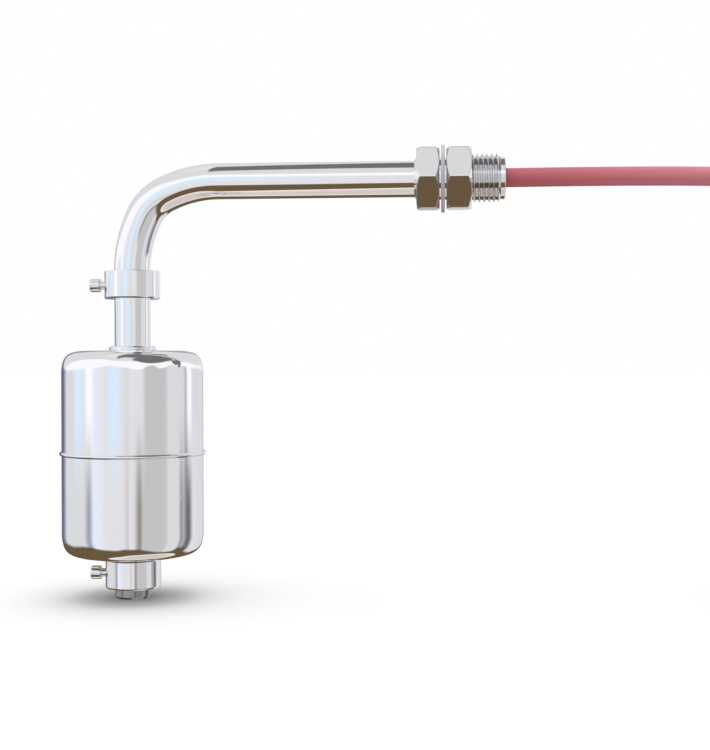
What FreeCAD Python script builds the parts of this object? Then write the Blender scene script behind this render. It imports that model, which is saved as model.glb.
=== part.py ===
import FreeCAD
import Part
import Sketcher

import math
import os
from types import SimpleNamespace

from FreeCAD import Placement, Rotation, Vector

# Float level switch for the side of a tank: a bent steel tube carries a steel float between two
# stop collars. A magnet in the float closes a reed contact in the tube as the liquid lifts it.
# Millimetres. The origin is the centre of the fixed hexagon's sealing face, +X runs out along the
# threaded nipple and the lead, +Z is up, and the stem hangs down at the far end of the arm.

# Driving dimensions, in millimetres and degrees
SIZES = {
    # bent tube: one arm along X and one stem along Z
    "tube_outer": 19.0,
    "tube_wall": 1.5,
    "arm_length": 164.1,
    "stem_drop": 220.0,
    "bend_radius": 24.5,
    "ease_radius": 66.0,
    "ease_angle": 26.0,
    "plug_cap": 2.0,
    "plug_spigot": 5.0,
    "plug_chamfer": 0.8,
    # fixed hexagon and threaded nipple
    "hex_flats": 31.75,
    "hex_thickness": 12.0,
    "hex_turn": 33.0,
    "hex_chamfer": 1.6,
    "socket_depth": 9.0,
    "neck_outer": 22.0,
    "neck_length": 4.2,
    "thread_outer": 25.4,
    "thread_chamfer": 1.0,
    "relief_width": 0.8,
    "nipple_length": 34.2,
    "lead_ring_length": 2.8,
    "nipple_bore": 16.0,
    "edge_break": 0.4,
    # soft ring and lock nut
    "gasket_outer": 35.5,
    "gasket_thickness": 2.0,
    "gasket_gap": 0.8,
    "gasket_play": 0.2,
    "nut_thickness": 13.2,
    "nut_gap": 0.8,
    "nut_play": 0.05,
    # stop collars and their clamp screws
    "collar_outer": 29.4,
    "collar_height": 14.8,
    "collar_play": 0.05,
    "upper_collar_drop": 62.4,
    "lower_collar_drop": 201.6,
    "screw_shank": 4.4,
    "screw_play": 0.05,
    "screw_head": 7.2,
    "screw_head_length": 5.4,
    "screw_reach": 22.6,
    "screw_socket_flats": 3.0,
    "screw_socket_depth": 2.5,
    "spot_face": 7.6,
    "spot_face_radius": 14.1,
    # float: two drawn half shells on a guide tube
    "float_outer": 75.0,
    "float_height": 109.0,
    "shell_wall": 0.8,
    "shoulder_radius": 7.5,
    "bead_reach": 1.05,
    "bead_height": 1.0,
    "bead_round": 0.6,
    "guide_bore": 20.6,
    "guide_wall": 0.8,
    "rim_outer": 24.7,
    "rim_height": 2.5,
    "rim_land": 0.6,
    "rim_lip": 0.4,
    # ring magnet and the two clips that keep it at the float's middle
    "magnet_outer": 34.0,
    "magnet_height": 10.0,
    "magnet_play": 0.3,
    "clip_outer": 29.0,
    "clip_thickness": 1.0,
    # reed contact on its strip, in the stem
    "reed_drop": 124.0,
    "capsule_outer": 2.6,
    "capsule_length": 16.0,
    "capsule_wall": 0.4,
    "capsule_end": 1.4,
    "blade_width": 1.2,
    "blade_thickness": 0.25,
    "blade_gap": 0.1,
    "blade_overlap": 1.0,
    "lead_outer": 0.6,
    "lead_length": 5.0,
    "board_thickness": 1.6,
    "board_length": 60.0,
    "board_front": 0.2,
    "board_play": 0.08,
    "joint_outer": 1.4,
    "joint_pad": 2.6,
    "joint_pad_height": 0.2,
    # wires from the reed contact to the lead, side by side
    "wire_outer": 1.6,
    "wire_spacing": 2.2,
    "wire_end": 2.0,
    # red lead, resin and the lead's stripped end
    "cable_outer": 10.0,
    "cable_entry": 19.0,
    "potting_recess": 2.0,
    "potting_depth": 21.0,
    "coil_x": 212.0,
    "coil_drop": 221.0,
    "coil_radius": 50.0,
    "upper_turn_angle": 216.0,
    "upper_turn_end": 54.0,
    "tie_width": 6.0,
    "tie_thickness": 1.0,
    "tie_play": 0.15,
    "core_outer": 3.0,
    "core_spacing": 3.4,
    "core_angle": 40.0,
    "core_tilt": 5.9,
    "tip_outer": 1.2,
    "tip_length": 8.0,
}

# Route of the lead from its entry in the nipple to the coil on the floor, by hand
CABLE_ROUTE = [
    Vector(15.2, 0.0, 0.0),
    Vector(118.0, -1.0, 0.8),
    Vector(201.0, -3.5, -3.6),
    Vector(254.4, -7.0, -26.6),
    Vector(288.0, -14.0, -73.0),
    Vector(291.5, -26.0, -127.0),
    Vector(289.0, -39.0, -175.0),
    Vector(272.0, -46.0, -201.2),
    Vector(244.0, -50.0, -216.0),
    Vector(212.0, -50.0, -216.0),
]

# An arc of the lead takes this share of the shorter run beside its corner
ARC_SHARE = 0.45

ALONG_X = Rotation(Vector(0, 1, 0), 90)
FACING_BACK = Rotation(Vector(0, 1, 0), -90)
UPSIDE_DOWN = Rotation(Vector(1, 0, 0), 180)
RING_UPRIGHT = Rotation(Vector(1, 0, 0), 90)


class Size:
    """A number together with the spreadsheet expression that gives it."""

    def __init__(self, number, text):
        self.number = float(number)
        self.text = text

    def __add__(self, other):
        other = as_size(other)
        return Size(self.number + other.number, f"({self.text} + {other.text})")

    def __sub__(self, other):
        other = as_size(other)
        return Size(self.number - other.number, f"({self.text} - {other.text})")

    def __mul__(self, other):
        other = as_size(other)
        return Size(self.number * other.number, f"({self.text} * {other.text})")

    def __truediv__(self, other):
        other = as_size(other)
        return Size(self.number / other.number, f"({self.text} / {other.text})")

    def __neg__(self):
        return Size(-self.number, f"(0 - {self.text})")


def as_size(value):
    """A plain number as a Size."""
    return value if isinstance(value, Size) else Size(value, repr(float(value)))


def sine(angle):
    return Size(math.sin(math.radians(angle.number)), f"sin({angle.text})")


def cosine(angle):
    return Size(math.cos(math.radians(angle.number)), f"cos({angle.text})")


# Document and its sheet of sizes
doc = FreeCAD.newDocument("float_level_switch")
sheet = doc.addObject("Spreadsheet::Sheet", "sizes")
for row, (alias, number) in enumerate(SIZES.items(), start=1):
    sheet.set(f"A{row}", alias)
    sheet.set(f"B{row}", str(number))
    sheet.setAlias(f"B{row}", alias)
doc.recompute()

s = SimpleNamespace(**{alias: Size(number, f"sizes.{alias}") for alias, number in SIZES.items()})
nodes = {}


def bind(item, name, size):
    """Ties a property to the sheet."""
    item.setExpression(name, as_size(size).text)


def place(item, x=0, y=0, z=0, rotation=None):
    """Puts an item in the part's frame, each coordinate tied to the sheet."""
    x, y, z = as_size(x), as_size(y), as_size(z)
    item.Placement = Placement(Vector(x.number, y.number, z.number), rotation or Rotation())
    bind(item, "Placement.Base.x", x)
    bind(item, "Placement.Base.y", y)
    bind(item, "Placement.Base.z", z)
    return item


def node(label, item):
    """Names a finished sub-part."""
    item.Label = label
    nodes[label] = item
    return item


def cylinder(name, radius, height):
    item = doc.addObject("Part::Cylinder", name)
    bind(item, "Radius", radius)
    bind(item, "Height", height)
    return item


def block(name, length, width, height):
    item = doc.addObject("Part::Box", name)
    bind(item, "Length", length)
    bind(item, "Width", width)
    bind(item, "Height", height)
    return item


def hexagon(name, flats, height):
    item = doc.addObject("Part::Prism", name)
    item.Polygon = 6
    bind(item, "Circumradius", flats / 2 / cosine(Size(30, "30")))
    bind(item, "Height", height)
    return item


def fused(name, items):
    item = doc.addObject("Part::MultiFuse", name)
    item.Shapes = items
    return item


def shared(name, base, tool):
    item = doc.addObject("Part::Common", name)
    item.Base = base
    item.Tool = tool
    return item


def cut(name, base, tool):
    item = doc.addObject("Part::Cut", name)
    item.Base = base
    item.Tool = tool
    return item


def origin_plane(body, role):
    return next(f for f in body.Origin.OriginFeatures if f.Role == role)


def outline_edge(start, end, bend):
    """A line, or an arc of a given radius that turns left or right from start to end."""
    if bend is None:
        return Part.LineSegment(start, end), (1, 2)
    side, radius = bend
    chord = end - start
    left = Vector(-chord.y, chord.x, 0).normalize()
    depth = math.sqrt(max(radius.number**2 - (chord.Length / 2) ** 2, 0))
    centre = (start + end) / 2 + left * (depth if side == "left" else -depth)
    first, last = (start, end) if side == "left" else (end, start)
    angles = [math.atan2(p.y - centre.y, p.x - centre.x) for p in (first, last)]
    circle = Part.Circle(centre, Vector(0, 0, 1), radius.number)
    arc = Part.ArcOfCircle(circle, angles[0], angles[1])
    return arc, ((1, 2) if side == "left" else (2, 1))


def turned(name, outline):
    """A body turned about its own Z axis. Each corner of the outline is (radius, height), with
    (side, radius) after it where an arc leads to the next corner."""
    body = doc.addObject("PartDesign::Body", name)
    sketch = body.newObject("Sketcher::SketchObject", name + "_outline")
    sketch.AttachmentSupport = [(origin_plane(body, "XZ_Plane"), "")]
    sketch.MapMode = "FlatFace"
    corners = [(as_size(c[0]), as_size(c[1]), c[2] if len(c) > 2 else None) for c in outline]
    points = [Vector(r.number, z.number, 0) for r, z, _ in corners]
    ends = []
    for index, (_, _, bend) in enumerate(corners):
        edge, order = outline_edge(points[index], points[(index + 1) % len(points)], bend)
        sketch.addGeometry(edge)
        ends.append(order)
    for index, (radius, height, bend) in enumerate(corners):
        after = (index + 1) % len(corners)
        joint = Sketcher.Constraint("Coincident", index, ends[index][1], after, ends[after][0])
        sketch.addConstraint(joint)
        for kind, size in (("DistanceX", radius), ("DistanceY", height)):
            constraint = Sketcher.Constraint(kind, -1, 1, index, ends[index][0], size.number)
            key = sketch.addConstraint(constraint)
            sketch.setExpression(f"Constraints[{key}]", size.text)
        if bend is not None:
            key = sketch.addConstraint(Sketcher.Constraint("Radius", index, bend[1].number))
            sketch.setExpression(f"Constraints[{key}]", bend[1].text)
    turning = body.newObject("PartDesign::Revolution", name + "_turning")
    turning.Profile = sketch
    turning.ReferenceAxis = (sketch, ["V_Axis"])
    turning.Angle = 360
    body.Tip = turning
    return body


def pocketed(body, name, role, offset, centre_height, radius, depth):
    """Adds a round pocket to a body, from a plane of its own origin towards -X."""
    sketch = body.newObject("Sketcher::SketchObject", name + "_circle")
    sketch.AttachmentSupport = [(origin_plane(body, role), "")]
    sketch.MapMode = "FlatFace"
    offset, centre_height = as_size(offset), as_size(centre_height)
    sketch.AttachmentOffset = Placement(Vector(0, 0, offset.number), Rotation())
    sketch.setExpression("AttachmentOffset.Base.z", offset.text)
    centre = Vector(0, centre_height.number, 0)
    sketch.addGeometry(Part.Circle(centre, Vector(0, 0, 1), radius.number))
    sketch.addConstraint(Sketcher.Constraint("PointOnObject", 0, 3, -2))
    key = sketch.addConstraint(
        Sketcher.Constraint("DistanceY", -1, 1, 0, 3, centre_height.number)
    )
    sketch.setExpression(f"Constraints[{key}]", centre_height.text)
    key = sketch.addConstraint(Sketcher.Constraint("Radius", 0, radius.number))
    sketch.setExpression(f"Constraints[{key}]", radius.text)
    pocket = body.newObject("PartDesign::Pocket", name)
    pocket.Profile = sketch
    pocket.Type = 0
    bind(pocket, "Length", depth)
    body.Tip = pocket
    return body


# Places that several pieces share
stem_x = -s.arm_length
tube_radius = s.tube_outer / 2
bore_radius = tube_radius - s.tube_wall
tight_angle = Size(90, "90") - s.ease_angle * 2
bend_rise = (
    s.ease_radius * sine(s.ease_angle)
    + s.bend_radius * (cosine(s.ease_angle) - sine(s.ease_angle))
    + s.ease_radius * (Size(1, "1") - cosine(s.ease_angle))
)
upper_collar_z = -s.upper_collar_drop
lower_collar_z = -s.lower_collar_drop - s.collar_height
float_z = -s.lower_collar_drop + s.rim_height + s.float_height / 2
gasket_x = s.gasket_gap
nut_x = gasket_x + s.gasket_thickness + s.nut_gap
nut_end_x = nut_x + s.nut_thickness
ring_start_x = s.nipple_length - s.lead_ring_length


# Bent tube, from cylinders and stretches of torus that share one centreline
def tube_run(name, radius, top_x, bottom_z):
    """A solid rod of the given radius along the arm, the three-arc bend and the stem."""
    stem = cylinder(name + "_stem", radius, -bend_rise - bottom_z)
    place(stem, stem_x, 0, bottom_z)
    ease, tight = s.ease_radius, s.bend_radius
    lower_x = stem_x + ease
    lower_z = -bend_rise
    tight_x = lower_x - (ease - tight) * cosine(s.ease_angle)
    tight_z = lower_z + (ease - tight) * sine(s.ease_angle)
    upper_x = tight_x + (ease - tight) * sine(s.ease_angle)
    upper_z = -ease
    arcs = [
        ("lower_ease", ease, s.ease_angle, lower_x, lower_z, Size(180, "180") - s.ease_angle),
        ("tight", tight, tight_angle, tight_x, tight_z, Size(90, "90") + s.ease_angle),
        ("upper_ease", ease, s.ease_angle, upper_x, upper_z, Size(90, "90")),
    ]
    bends = []
    for part_name, bend, angle, x, z, start in arcs:
        item = doc.addObject("Part::Torus", f"{name}_{part_name}")
        bind(item, "Radius1", bend)
        bind(item, "Radius2", radius)
        bind(item, "Angle3", angle)
        turn = RING_UPRIGHT.multiply(Rotation(Vector(0, 0, 1), start.number))
        bends.append(place(item, x, 0, z, turn))
    arm = cylinder(name + "_arm", radius, top_x - upper_x)
    place(arm, upper_x, 0, 0, ALONG_X)
    return fused(name, [stem, *bends, arm]), upper_x


tube_end_x = -s.hex_thickness + s.socket_depth
outer_run, arm_start_x = tube_run("tube_outside", tube_radius, tube_end_x, -s.stem_drop)
inner_run, _ = tube_run("tube_inside", bore_radius, tube_end_x, -s.stem_drop)
node("stem_tube", cut("stem_tube", outer_run, inner_run))


# Plug that closes the tube's lower end, its spigot in the bore
def end_plug():
    outline = [
        (0, 0),
        (tube_radius - s.plug_chamfer, 0),
        (tube_radius, s.plug_chamfer),
        (tube_radius, s.plug_cap),
        (bore_radius, s.plug_cap),
        (bore_radius, s.plug_cap + s.plug_spigot),
        (0, s.plug_cap + s.plug_spigot),
    ]
    return place(turned("end_plug", outline), stem_x, 0, -s.stem_drop - s.plug_cap)


node("end_plug", end_plug())


# Hexagons, chamfered at both ends by a turned blank
def chamfered_hexagon(name, thickness, x):
    """A hexagon prism along X whose six corners are chamfered at both faces."""
    flat_radius = s.hex_flats / 2
    corner_radius = flat_radius / cosine(Size(30, "30"))
    blank = turned(
        name + "_blank",
        [
            (0, 0),
            (flat_radius - s.edge_break, 0),
            (corner_radius + s.edge_break, s.hex_chamfer),
            (corner_radius + s.edge_break, thickness - s.hex_chamfer),
            (flat_radius - s.edge_break, thickness),
            (0, thickness),
        ],
    )
    place(blank, x, 0, 0, ALONG_X)
    prism = hexagon(name + "_prism", s.hex_flats, thickness)
    turn = Rotation(Vector(1, 0, 0), s.hex_turn.number).multiply(ALONG_X)
    place(prism, x, 0, 0, turn)
    return shared(name, prism, blank)


def tank_fitting():
    """Fixed hexagon with the tube's socket, and the nipple with its neck, thread and lead ring."""
    neck = s.neck_outer / 2
    crest = s.thread_outer / 2
    relief_x = nut_end_x
    nipple = turned(
        "nipple",
        [
            (0, -s.hex_thickness / 2),
            (neck, -s.hex_thickness / 2),
            (neck, s.neck_length),
            (crest, s.neck_length + s.thread_chamfer),
            (crest, relief_x),
            (neck, relief_x),
            (neck, relief_x + s.relief_width),
            (crest, relief_x + s.relief_width),
            (crest, ring_start_x - s.thread_chamfer),
            (neck, ring_start_x),
            (neck, s.nipple_length - s.edge_break),
            (neck - s.edge_break, s.nipple_length),
            (0, s.nipple_length),
        ],
    )
    place(nipple, 0, 0, 0, ALONG_X)
    hexagon_piece = chamfered_hexagon("fixed_hexagon", s.hex_thickness, -s.hex_thickness)
    outside = fused("fitting_outside", [hexagon_piece, nipple])
    socket = cylinder("tube_socket", tube_radius, s.socket_depth)
    place(socket, -s.hex_thickness, 0, 0, ALONG_X)
    bore = cylinder("nipple_bore", s.nipple_bore / 2, s.hex_thickness + s.nipple_length)
    place(bore, -s.hex_thickness, 0, 0, ALONG_X)
    return cut("tank_fitting", outside, fused("fitting_inside", [socket, bore]))


node("tank_fitting", tank_fitting())


# Soft ring that sits in the neck, and the lock nut on the thread
def wall_gasket():
    bore = s.neck_outer / 2 + s.gasket_play
    outline = [
        (bore, 0),
        (s.gasket_outer / 2, 0),
        (s.gasket_outer / 2, s.gasket_thickness),
        (bore, s.gasket_thickness),
    ]
    return place(turned("wall_gasket", outline), gasket_x, 0, 0, ALONG_X)


def lock_nut():
    bore = s.thread_outer / 2 + s.nut_play
    blank = chamfered_hexagon("nut_outside", s.nut_thickness, nut_x)
    hole = turned(
        "nut_bore",
        [
            (0, 0),
            (bore + s.thread_chamfer, 0),
            (bore, s.thread_chamfer),
            (bore, s.nut_thickness - s.thread_chamfer),
            (bore + s.thread_chamfer, s.nut_thickness),
            (0, s.nut_thickness),
        ],
    )
    place(hole, nut_x, 0, 0, ALONG_X)
    return cut("lock_nut", blank, hole)


node("wall_gasket", wall_gasket())
node("lock_nut", lock_nut())


# Stop collars: a ring, a spot face and a tapped hole towards -X
def stop_collar(name, z):
    bore = tube_radius + s.collar_play
    outer = s.collar_outer / 2
    body = turned(
        name,
        [
            (bore, 0),
            (outer - s.edge_break, 0),
            (outer, s.edge_break),
            (outer, s.collar_height - s.edge_break),
            (outer - s.edge_break, s.collar_height),
            (bore, s.collar_height),
        ],
    )
    middle = s.collar_height / 2
    hole = s.screw_shank / 2 + s.screw_play
    pocketed(body, name + "_tapping", "YZ_Plane", 0, middle, hole, outer + s.edge_break)
    pocketed(
        body,
        name + "_spot_face",
        "YZ_Plane",
        -s.spot_face_radius,
        middle,
        s.spot_face / 2,
        outer - s.spot_face_radius + s.edge_break,
    )
    return place(body, stem_x, 0, z)


def clamp_screw(name, z):
    """Cap screw with a hexagon socket. Its tip stops at the tube."""
    tip = tube_radius + s.screw_play
    head_inner = s.screw_reach - s.screw_head_length
    shank, head = s.screw_shank / 2, s.screw_head / 2
    solid = turned(
        name + "_turned",
        [
            (0, tip),
            (shank - s.edge_break, tip),
            (shank, tip + s.edge_break),
            (shank, head_inner),
            (head, head_inner),
            (head, s.screw_reach - s.edge_break),
            (head - s.edge_break, s.screw_reach),
            (0, s.screw_reach),
        ],
    )
    place(solid, stem_x, 0, z, FACING_BACK)
    socket = hexagon(name + "_socket", s.screw_socket_flats, s.screw_socket_depth)
    place(socket, stem_x - s.screw_reach + s.screw_socket_depth, 0, z, FACING_BACK)
    return cut(name, solid, socket)


node("upper_stop_collar", stop_collar("upper_stop_collar", upper_collar_z))
node("lower_stop_collar", stop_collar("lower_stop_collar", lower_collar_z))
half_collar = s.collar_height / 2
node("upper_clamp_screw", clamp_screw("upper_clamp_screw", upper_collar_z + half_collar))
node("lower_clamp_screw", clamp_screw("lower_clamp_screw", lower_collar_z + half_collar))

# Float: both half shells are drawn to one outline, lips together at the weld bead
guide_radius = s.guide_bore / 2 + s.guide_wall
half_float = s.float_height / 2


def half_shell(name, rotation):
    outer = s.float_outer / 2
    inner = outer - s.shell_wall
    lip = outer + s.bead_reach
    outer_bend = ("left", s.shoulder_radius)
    inner_bend = ("right", s.shoulder_radius - s.shell_wall)
    outline = [
        (inner, 0),
        (lip, 0),
        (lip, s.bead_height - s.bead_round, ("left", s.bead_round)),
        (lip - s.bead_round, s.bead_height),
        (outer, s.bead_height),
        (outer, half_float - s.shoulder_radius, outer_bend),
        (outer - s.shoulder_radius, half_float),
        (guide_radius, half_float),
        (guide_radius, half_float - s.shell_wall),
        (outer - s.shoulder_radius, half_float - s.shell_wall, inner_bend),
        (inner, half_float - s.shoulder_radius),
    ]
    return place(turned(name, outline), stem_x, 0, float_z, rotation)


def float_guide_tube():
    """Tube through the float, with a welded rim above and below the shells."""
    bore = s.guide_bore / 2
    rim = s.rim_outer / 2
    land = half_float + s.rim_land
    end = half_float + s.rim_height
    lip = bore + s.rim_lip
    outline = [
        (bore, -end),
        (lip, -end),
        (rim, -land),
        (rim, -half_float),
        (guide_radius, -half_float),
        (guide_radius, half_float),
        (rim, half_float),
        (rim, land),
        (lip, end),
        (bore, end),
    ]
    return place(turned("float_guide_tube", outline), stem_x, 0, float_z)


def flat_ring(name, bore, outer, height, z):
    outline = [
        (bore, 0),
        (outer, 0),
        (outer, height),
        (bore, height),
    ]
    return place(turned(name, outline), stem_x, 0, z)


node("float_upper_shell", half_shell("float_upper_shell", Rotation()))
node("float_lower_shell", half_shell("float_lower_shell", UPSIDE_DOWN))
node("float_guide_tube", float_guide_tube())

# Ring magnet, free to turn between two clips on the guide tube
magnet_bottom = float_z - s.magnet_height / 2
magnet_top = float_z + s.magnet_height / 2
magnet_bore = guide_radius + s.magnet_play
magnet = flat_ring(
    "ring_magnet", magnet_bore, s.magnet_outer / 2, s.magnet_height, magnet_bottom
)
node("ring_magnet", magnet)
clip_size = (guide_radius, s.clip_outer / 2, s.clip_thickness)
lower_clip_z = magnet_bottom - s.magnet_play - s.clip_thickness
node("magnet_clip_lower", flat_ring("magnet_clip_lower", *clip_size, lower_clip_z))
node("magnet_clip_upper", flat_ring("magnet_clip_upper", *clip_size, magnet_top + s.magnet_play))

# Reed contact: glass capsule and two blades in front of a strip that stands in the stem
reed_z = -s.reed_drop
capsule_y = s.board_front - s.capsule_outer / 2
half_capsule = s.capsule_length / 2
lead_radius = s.lead_outer / 2


def reed_capsule():
    outer = s.capsule_outer / 2
    inner = outer - s.capsule_wall
    hollow = half_capsule - s.capsule_end
    outline = [
        (lead_radius, -half_capsule),
        (inner, -half_capsule),
        (outer, -half_capsule + s.capsule_wall),
        (outer, half_capsule - s.capsule_wall),
        (inner, half_capsule),
        (lead_radius, half_capsule),
        (lead_radius, hollow + s.capsule_wall),
        (inner, hollow),
        (inner, -hollow),
        (lead_radius, -hollow - s.capsule_wall),
    ]
    return place(turned("reed_capsule", outline), stem_x, capsule_y, reed_z)


def reed_blade(name, above):
    """Flat contact blade in the glass, on a round lead that comes out of its end."""
    reach = half_capsule - s.capsule_end
    blade_length = reach + s.blade_overlap / 2
    blade = block(name + "_blade", s.blade_width, s.blade_thickness, blade_length)
    lead_length = half_capsule + s.lead_length - reach
    lead = cylinder(name + "_lead", lead_radius, lead_length)
    edge_x = stem_x - s.blade_width / 2
    if above:
        blade_y = capsule_y + s.blade_gap / 2
        place(blade, edge_x, blade_y, reed_z - s.blade_overlap / 2)
        place(lead, stem_x, capsule_y, reed_z + reach)
    else:
        blade_y = capsule_y - s.blade_gap / 2 - s.blade_thickness
        place(blade, edge_x, blade_y, reed_z - reach)
        place(lead, stem_x, capsule_y, reed_z - reach - lead_length)
    return fused(name, [blade, lead])


def reed_board(pins):
    """Strip that fills the bore's width, with a hole for each solder joint."""
    back = s.board_front + s.board_thickness
    half_width = Size(
        math.sqrt(bore_radius.number**2 - back.number**2),
        f"sqrt({bore_radius.text}^2 - {back.text}^2)",
    )
    width = (half_width - s.board_play) * 2
    strip = block("board_strip", width, s.board_thickness, s.board_length)
    place(strip, stem_x - width / 2, s.board_front, reed_z - s.board_length / 2)
    return cut("reed_board", strip, pins)


def joint_pins(name, radius, y, height):
    """Two pins along Y, one at each lead's middle."""
    pins = []
    for side, sign in (("upper", 1), ("lower", -1)):
        pin = cylinder(f"{name}_{side}", radius, height)
        pin_z = reed_z + (half_capsule + s.lead_length / 2) * sign
        pins.append(place(pin, stem_x, y, pin_z, Rotation(Vector(1, 0, 0), -90)))
    return pins


lead_back = capsule_y + lead_radius
board_back = s.board_front + s.board_thickness
pin_length = board_back - lead_back
pins = joint_pins("joint_pin", s.joint_outer / 2, lead_back, pin_length)
pads = joint_pins("joint_pad", s.joint_pad / 2, board_back, s.joint_pad_height)
holes = fused("board_holes", joint_pins("board_hole", s.joint_outer / 2, lead_back, pin_length))
node("reed_capsule", reed_capsule())
node("reed_blade_upper", reed_blade("reed_blade_upper", True))
node("reed_blade_lower", reed_blade("reed_blade_lower", False))
node("reed_board", reed_board(holes))
node("solder_joints", fused("solder_joints", pins + pads))


# Wires: each follows the tube's centreline, a little to one side
def tube_line(side, y, bottom_z, top_x):
    """The tube's centreline moved sideways in its own plane, as a wire at the given y."""
    ease, tight = s.ease_radius.number - side, s.bend_radius.number - side
    start = Vector(stem_x.number + side, y, bottom_z)
    at = Vector(start.x, y, -bend_rise.number)
    edges = [Part.LineSegment(start, at).toShape()]
    heading = 90.0
    turns = [(ease, s.ease_angle), (tight, tight_angle), (ease, s.ease_angle)]
    for radius, angle in turns:
        steps = [at]
        for share in (0.5, 1.0):
            turn = math.radians(heading - angle.number * share)
            before = math.radians(heading)
            steps.append(
                at
                + Vector(
                    radius * (math.sin(before) - math.sin(turn)),
                    0,
                    radius * (math.cos(turn) - math.cos(before)),
                )
            )
        edges.append(Part.Arc(*steps).toShape())
        at = steps[-1]
        heading -= angle.number
    edges.append(Part.LineSegment(at, Vector(top_x, y, at.z)).toShape())
    return Part.Wire(edges)


def swept(line, radius):
    """A round rod along a line of runs and arcs."""
    first = line.OrderedEdges[0]
    start = first.valueAt(first.FirstParameter)
    heading = first.tangentAt(first.FirstParameter)
    ring = Part.Wire(Part.makeCircle(radius, start, heading))
    rod = line.makePipe(Part.Face(ring))
    share = rod.Volume / (math.pi * radius**2 * line.Length)
    print(f"rod: length {line.Length:.1f}, volume over section times length {share:.5f}")
    return rod


def free_shape(label, shape):
    item = doc.addObject("Part::Feature", label)
    item.Shape = shape
    item.Placement = Placement()
    return node(label, item)


wire_radius = s.wire_outer / 2
wire_y = (board_back + s.joint_pad_height + wire_radius).number
cable_start_x = s.nipple_length - s.cable_entry
for label, sign in (("lead_wire_1", 1), ("lead_wire_2", -1)):
    end_z = reed_z + (half_capsule + s.lead_length / 2) * sign - s.wire_end
    side = (s.wire_spacing / 2).number * sign
    line = tube_line(side, wire_y, end_z.number, cable_start_x.number)
    free_shape(label, swept(line, wire_radius.number))


# Lead: straight runs joined by tangent arcs, as far as the coil
def rounded_route(points):
    """Straight runs joined by tangent arcs, each as large as its two runs allow."""
    edges = []
    radii = []
    start = points[0]
    for before, corner, after in zip(points, points[1:], points[2:]):
        run_in = corner - before
        run_out = after - corner
        half_turn = run_in.getAngle(run_out) / 2
        reach = ARC_SHARE * min(run_in.Length, run_out.Length)
        radius = reach / math.tan(half_turn)
        along_in = Vector(run_in).normalize()
        along_out = Vector(run_out).normalize()
        inward = (along_out - along_in).normalize()
        middle = corner + inward * (radius / math.cos(half_turn) - radius)
        arc_start = corner - along_in * reach
        arc_end = corner + along_out * reach
        edges.append(Part.LineSegment(start, arc_start).toShape())
        edges.append(Part.Arc(arc_start, middle, arc_end).toShape())
        radii.append(round(radius, 1))
        start = arc_end
    edges.append(Part.LineSegment(start, points[-1]).toShape())
    print("lead: radii", radii)
    return Part.Wire(edges)


free_shape("cable", swept(rounded_route(CABLE_ROUTE), s.cable_outer.number / 2))


# Resin that fills the nipple round the lead's end, and round the wires behind it
def cable_potting():
    length = s.nipple_length - s.potting_recess - cable_start_x + s.potting_depth
    resin = cylinder("resin", s.nipple_bore / 2, length)
    place(resin, cable_start_x - s.potting_depth, 0, 0, ALONG_X)
    held = [nodes[label] for label in ("lead_wire_1", "lead_wire_2", "cable")]
    return cut("cable_potting", resin, fused("held_in_resin", held))


node("cable_potting", cable_potting())


# Coil of the lead, lying flat: one full turn and a part of a turn on it, as one solid
coil_outer = s.coil_radius + s.cable_outer / 2
coil_inner = s.coil_radius - s.cable_outer / 2
upper_turn_z = -s.coil_drop + s.cable_outer


def coil_layer(name, z, angle, start):
    """A flat ring, or a part of one, as high and as wide as the lead is thick."""
    rings = []
    for side, radius in (("outside", coil_outer), ("inside", coil_inner)):
        item = cylinder(f"{name}_{side}", radius, s.cable_outer)
        bind(item, "Angle", angle)
        turn = Rotation(Vector(0, 0, 1), start.number)
        rings.append(place(item, s.coil_x, 0, z, turn))
    return cut(name, *rings)


def cable_coil():
    lower = coil_layer("lower_turn", -s.coil_drop, Size(360, "360"), Size(0, "0"))
    upper = coil_layer("upper_turn", upper_turn_z, s.upper_turn_angle, s.upper_turn_end)
    return fused("cable_coil", [lower, upper])


def coil_tie():
    """Band round both layers, where the coil is nearest to the object."""
    wall = s.tie_thickness
    height = s.cable_outer * 2
    room = s.cable_outer + s.tie_play
    outer_x = s.coil_x - coil_outer
    outside = block("tie_outside", room + wall * 2, s.tie_width, height + wall * 2)
    place(outside, outer_x - wall, -s.tie_width / 2, -s.coil_drop - wall)
    inside = block("tie_inside", room, s.tie_width, height)
    place(inside, outer_x, -s.tie_width / 2, -s.coil_drop)
    return cut("coil_tie", outside, inside)


node("cable_coil", cable_coil())
node("coil_tie", coil_tie())


# Stripped end: two cores that sink to the turn below, each with a bare tip
def stripped_core(number, radius):
    end_angle = s.upper_turn_end - s.core_angle
    jacket_end = math.radians(s.upper_turn_end.number)
    outwards = Vector(math.cos(jacket_end), math.sin(jacket_end), 0)
    sinking = Rotation(outwards, s.core_tilt.number)
    turn = sinking.multiply(Rotation(Vector(0, 0, 1), end_angle.number))
    core = doc.addObject("Part::Torus", f"cable_core_{number}")
    bind(core, "Radius1", radius)
    bind(core, "Radius2", s.core_outer / 2)
    bind(core, "Angle3", s.core_angle)
    node(core.Name, place(core, s.coil_x, 0, upper_turn_z + s.cable_outer / 2, turn))
    tip = cylinder(f"core_tip_{number}", s.tip_outer / 2, s.tip_length)
    tip_start = core.Placement.multVec(Vector(radius.number, 0, 0))
    tip.Placement = Placement(tip_start, turn.multiply(Rotation(Vector(1, 0, 0), 90)))
    node(tip.Name, tip)


stripped_core(1, s.coil_radius - s.core_spacing / 2)
stripped_core(2, s.coil_radius + s.core_spacing / 2)


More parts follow.
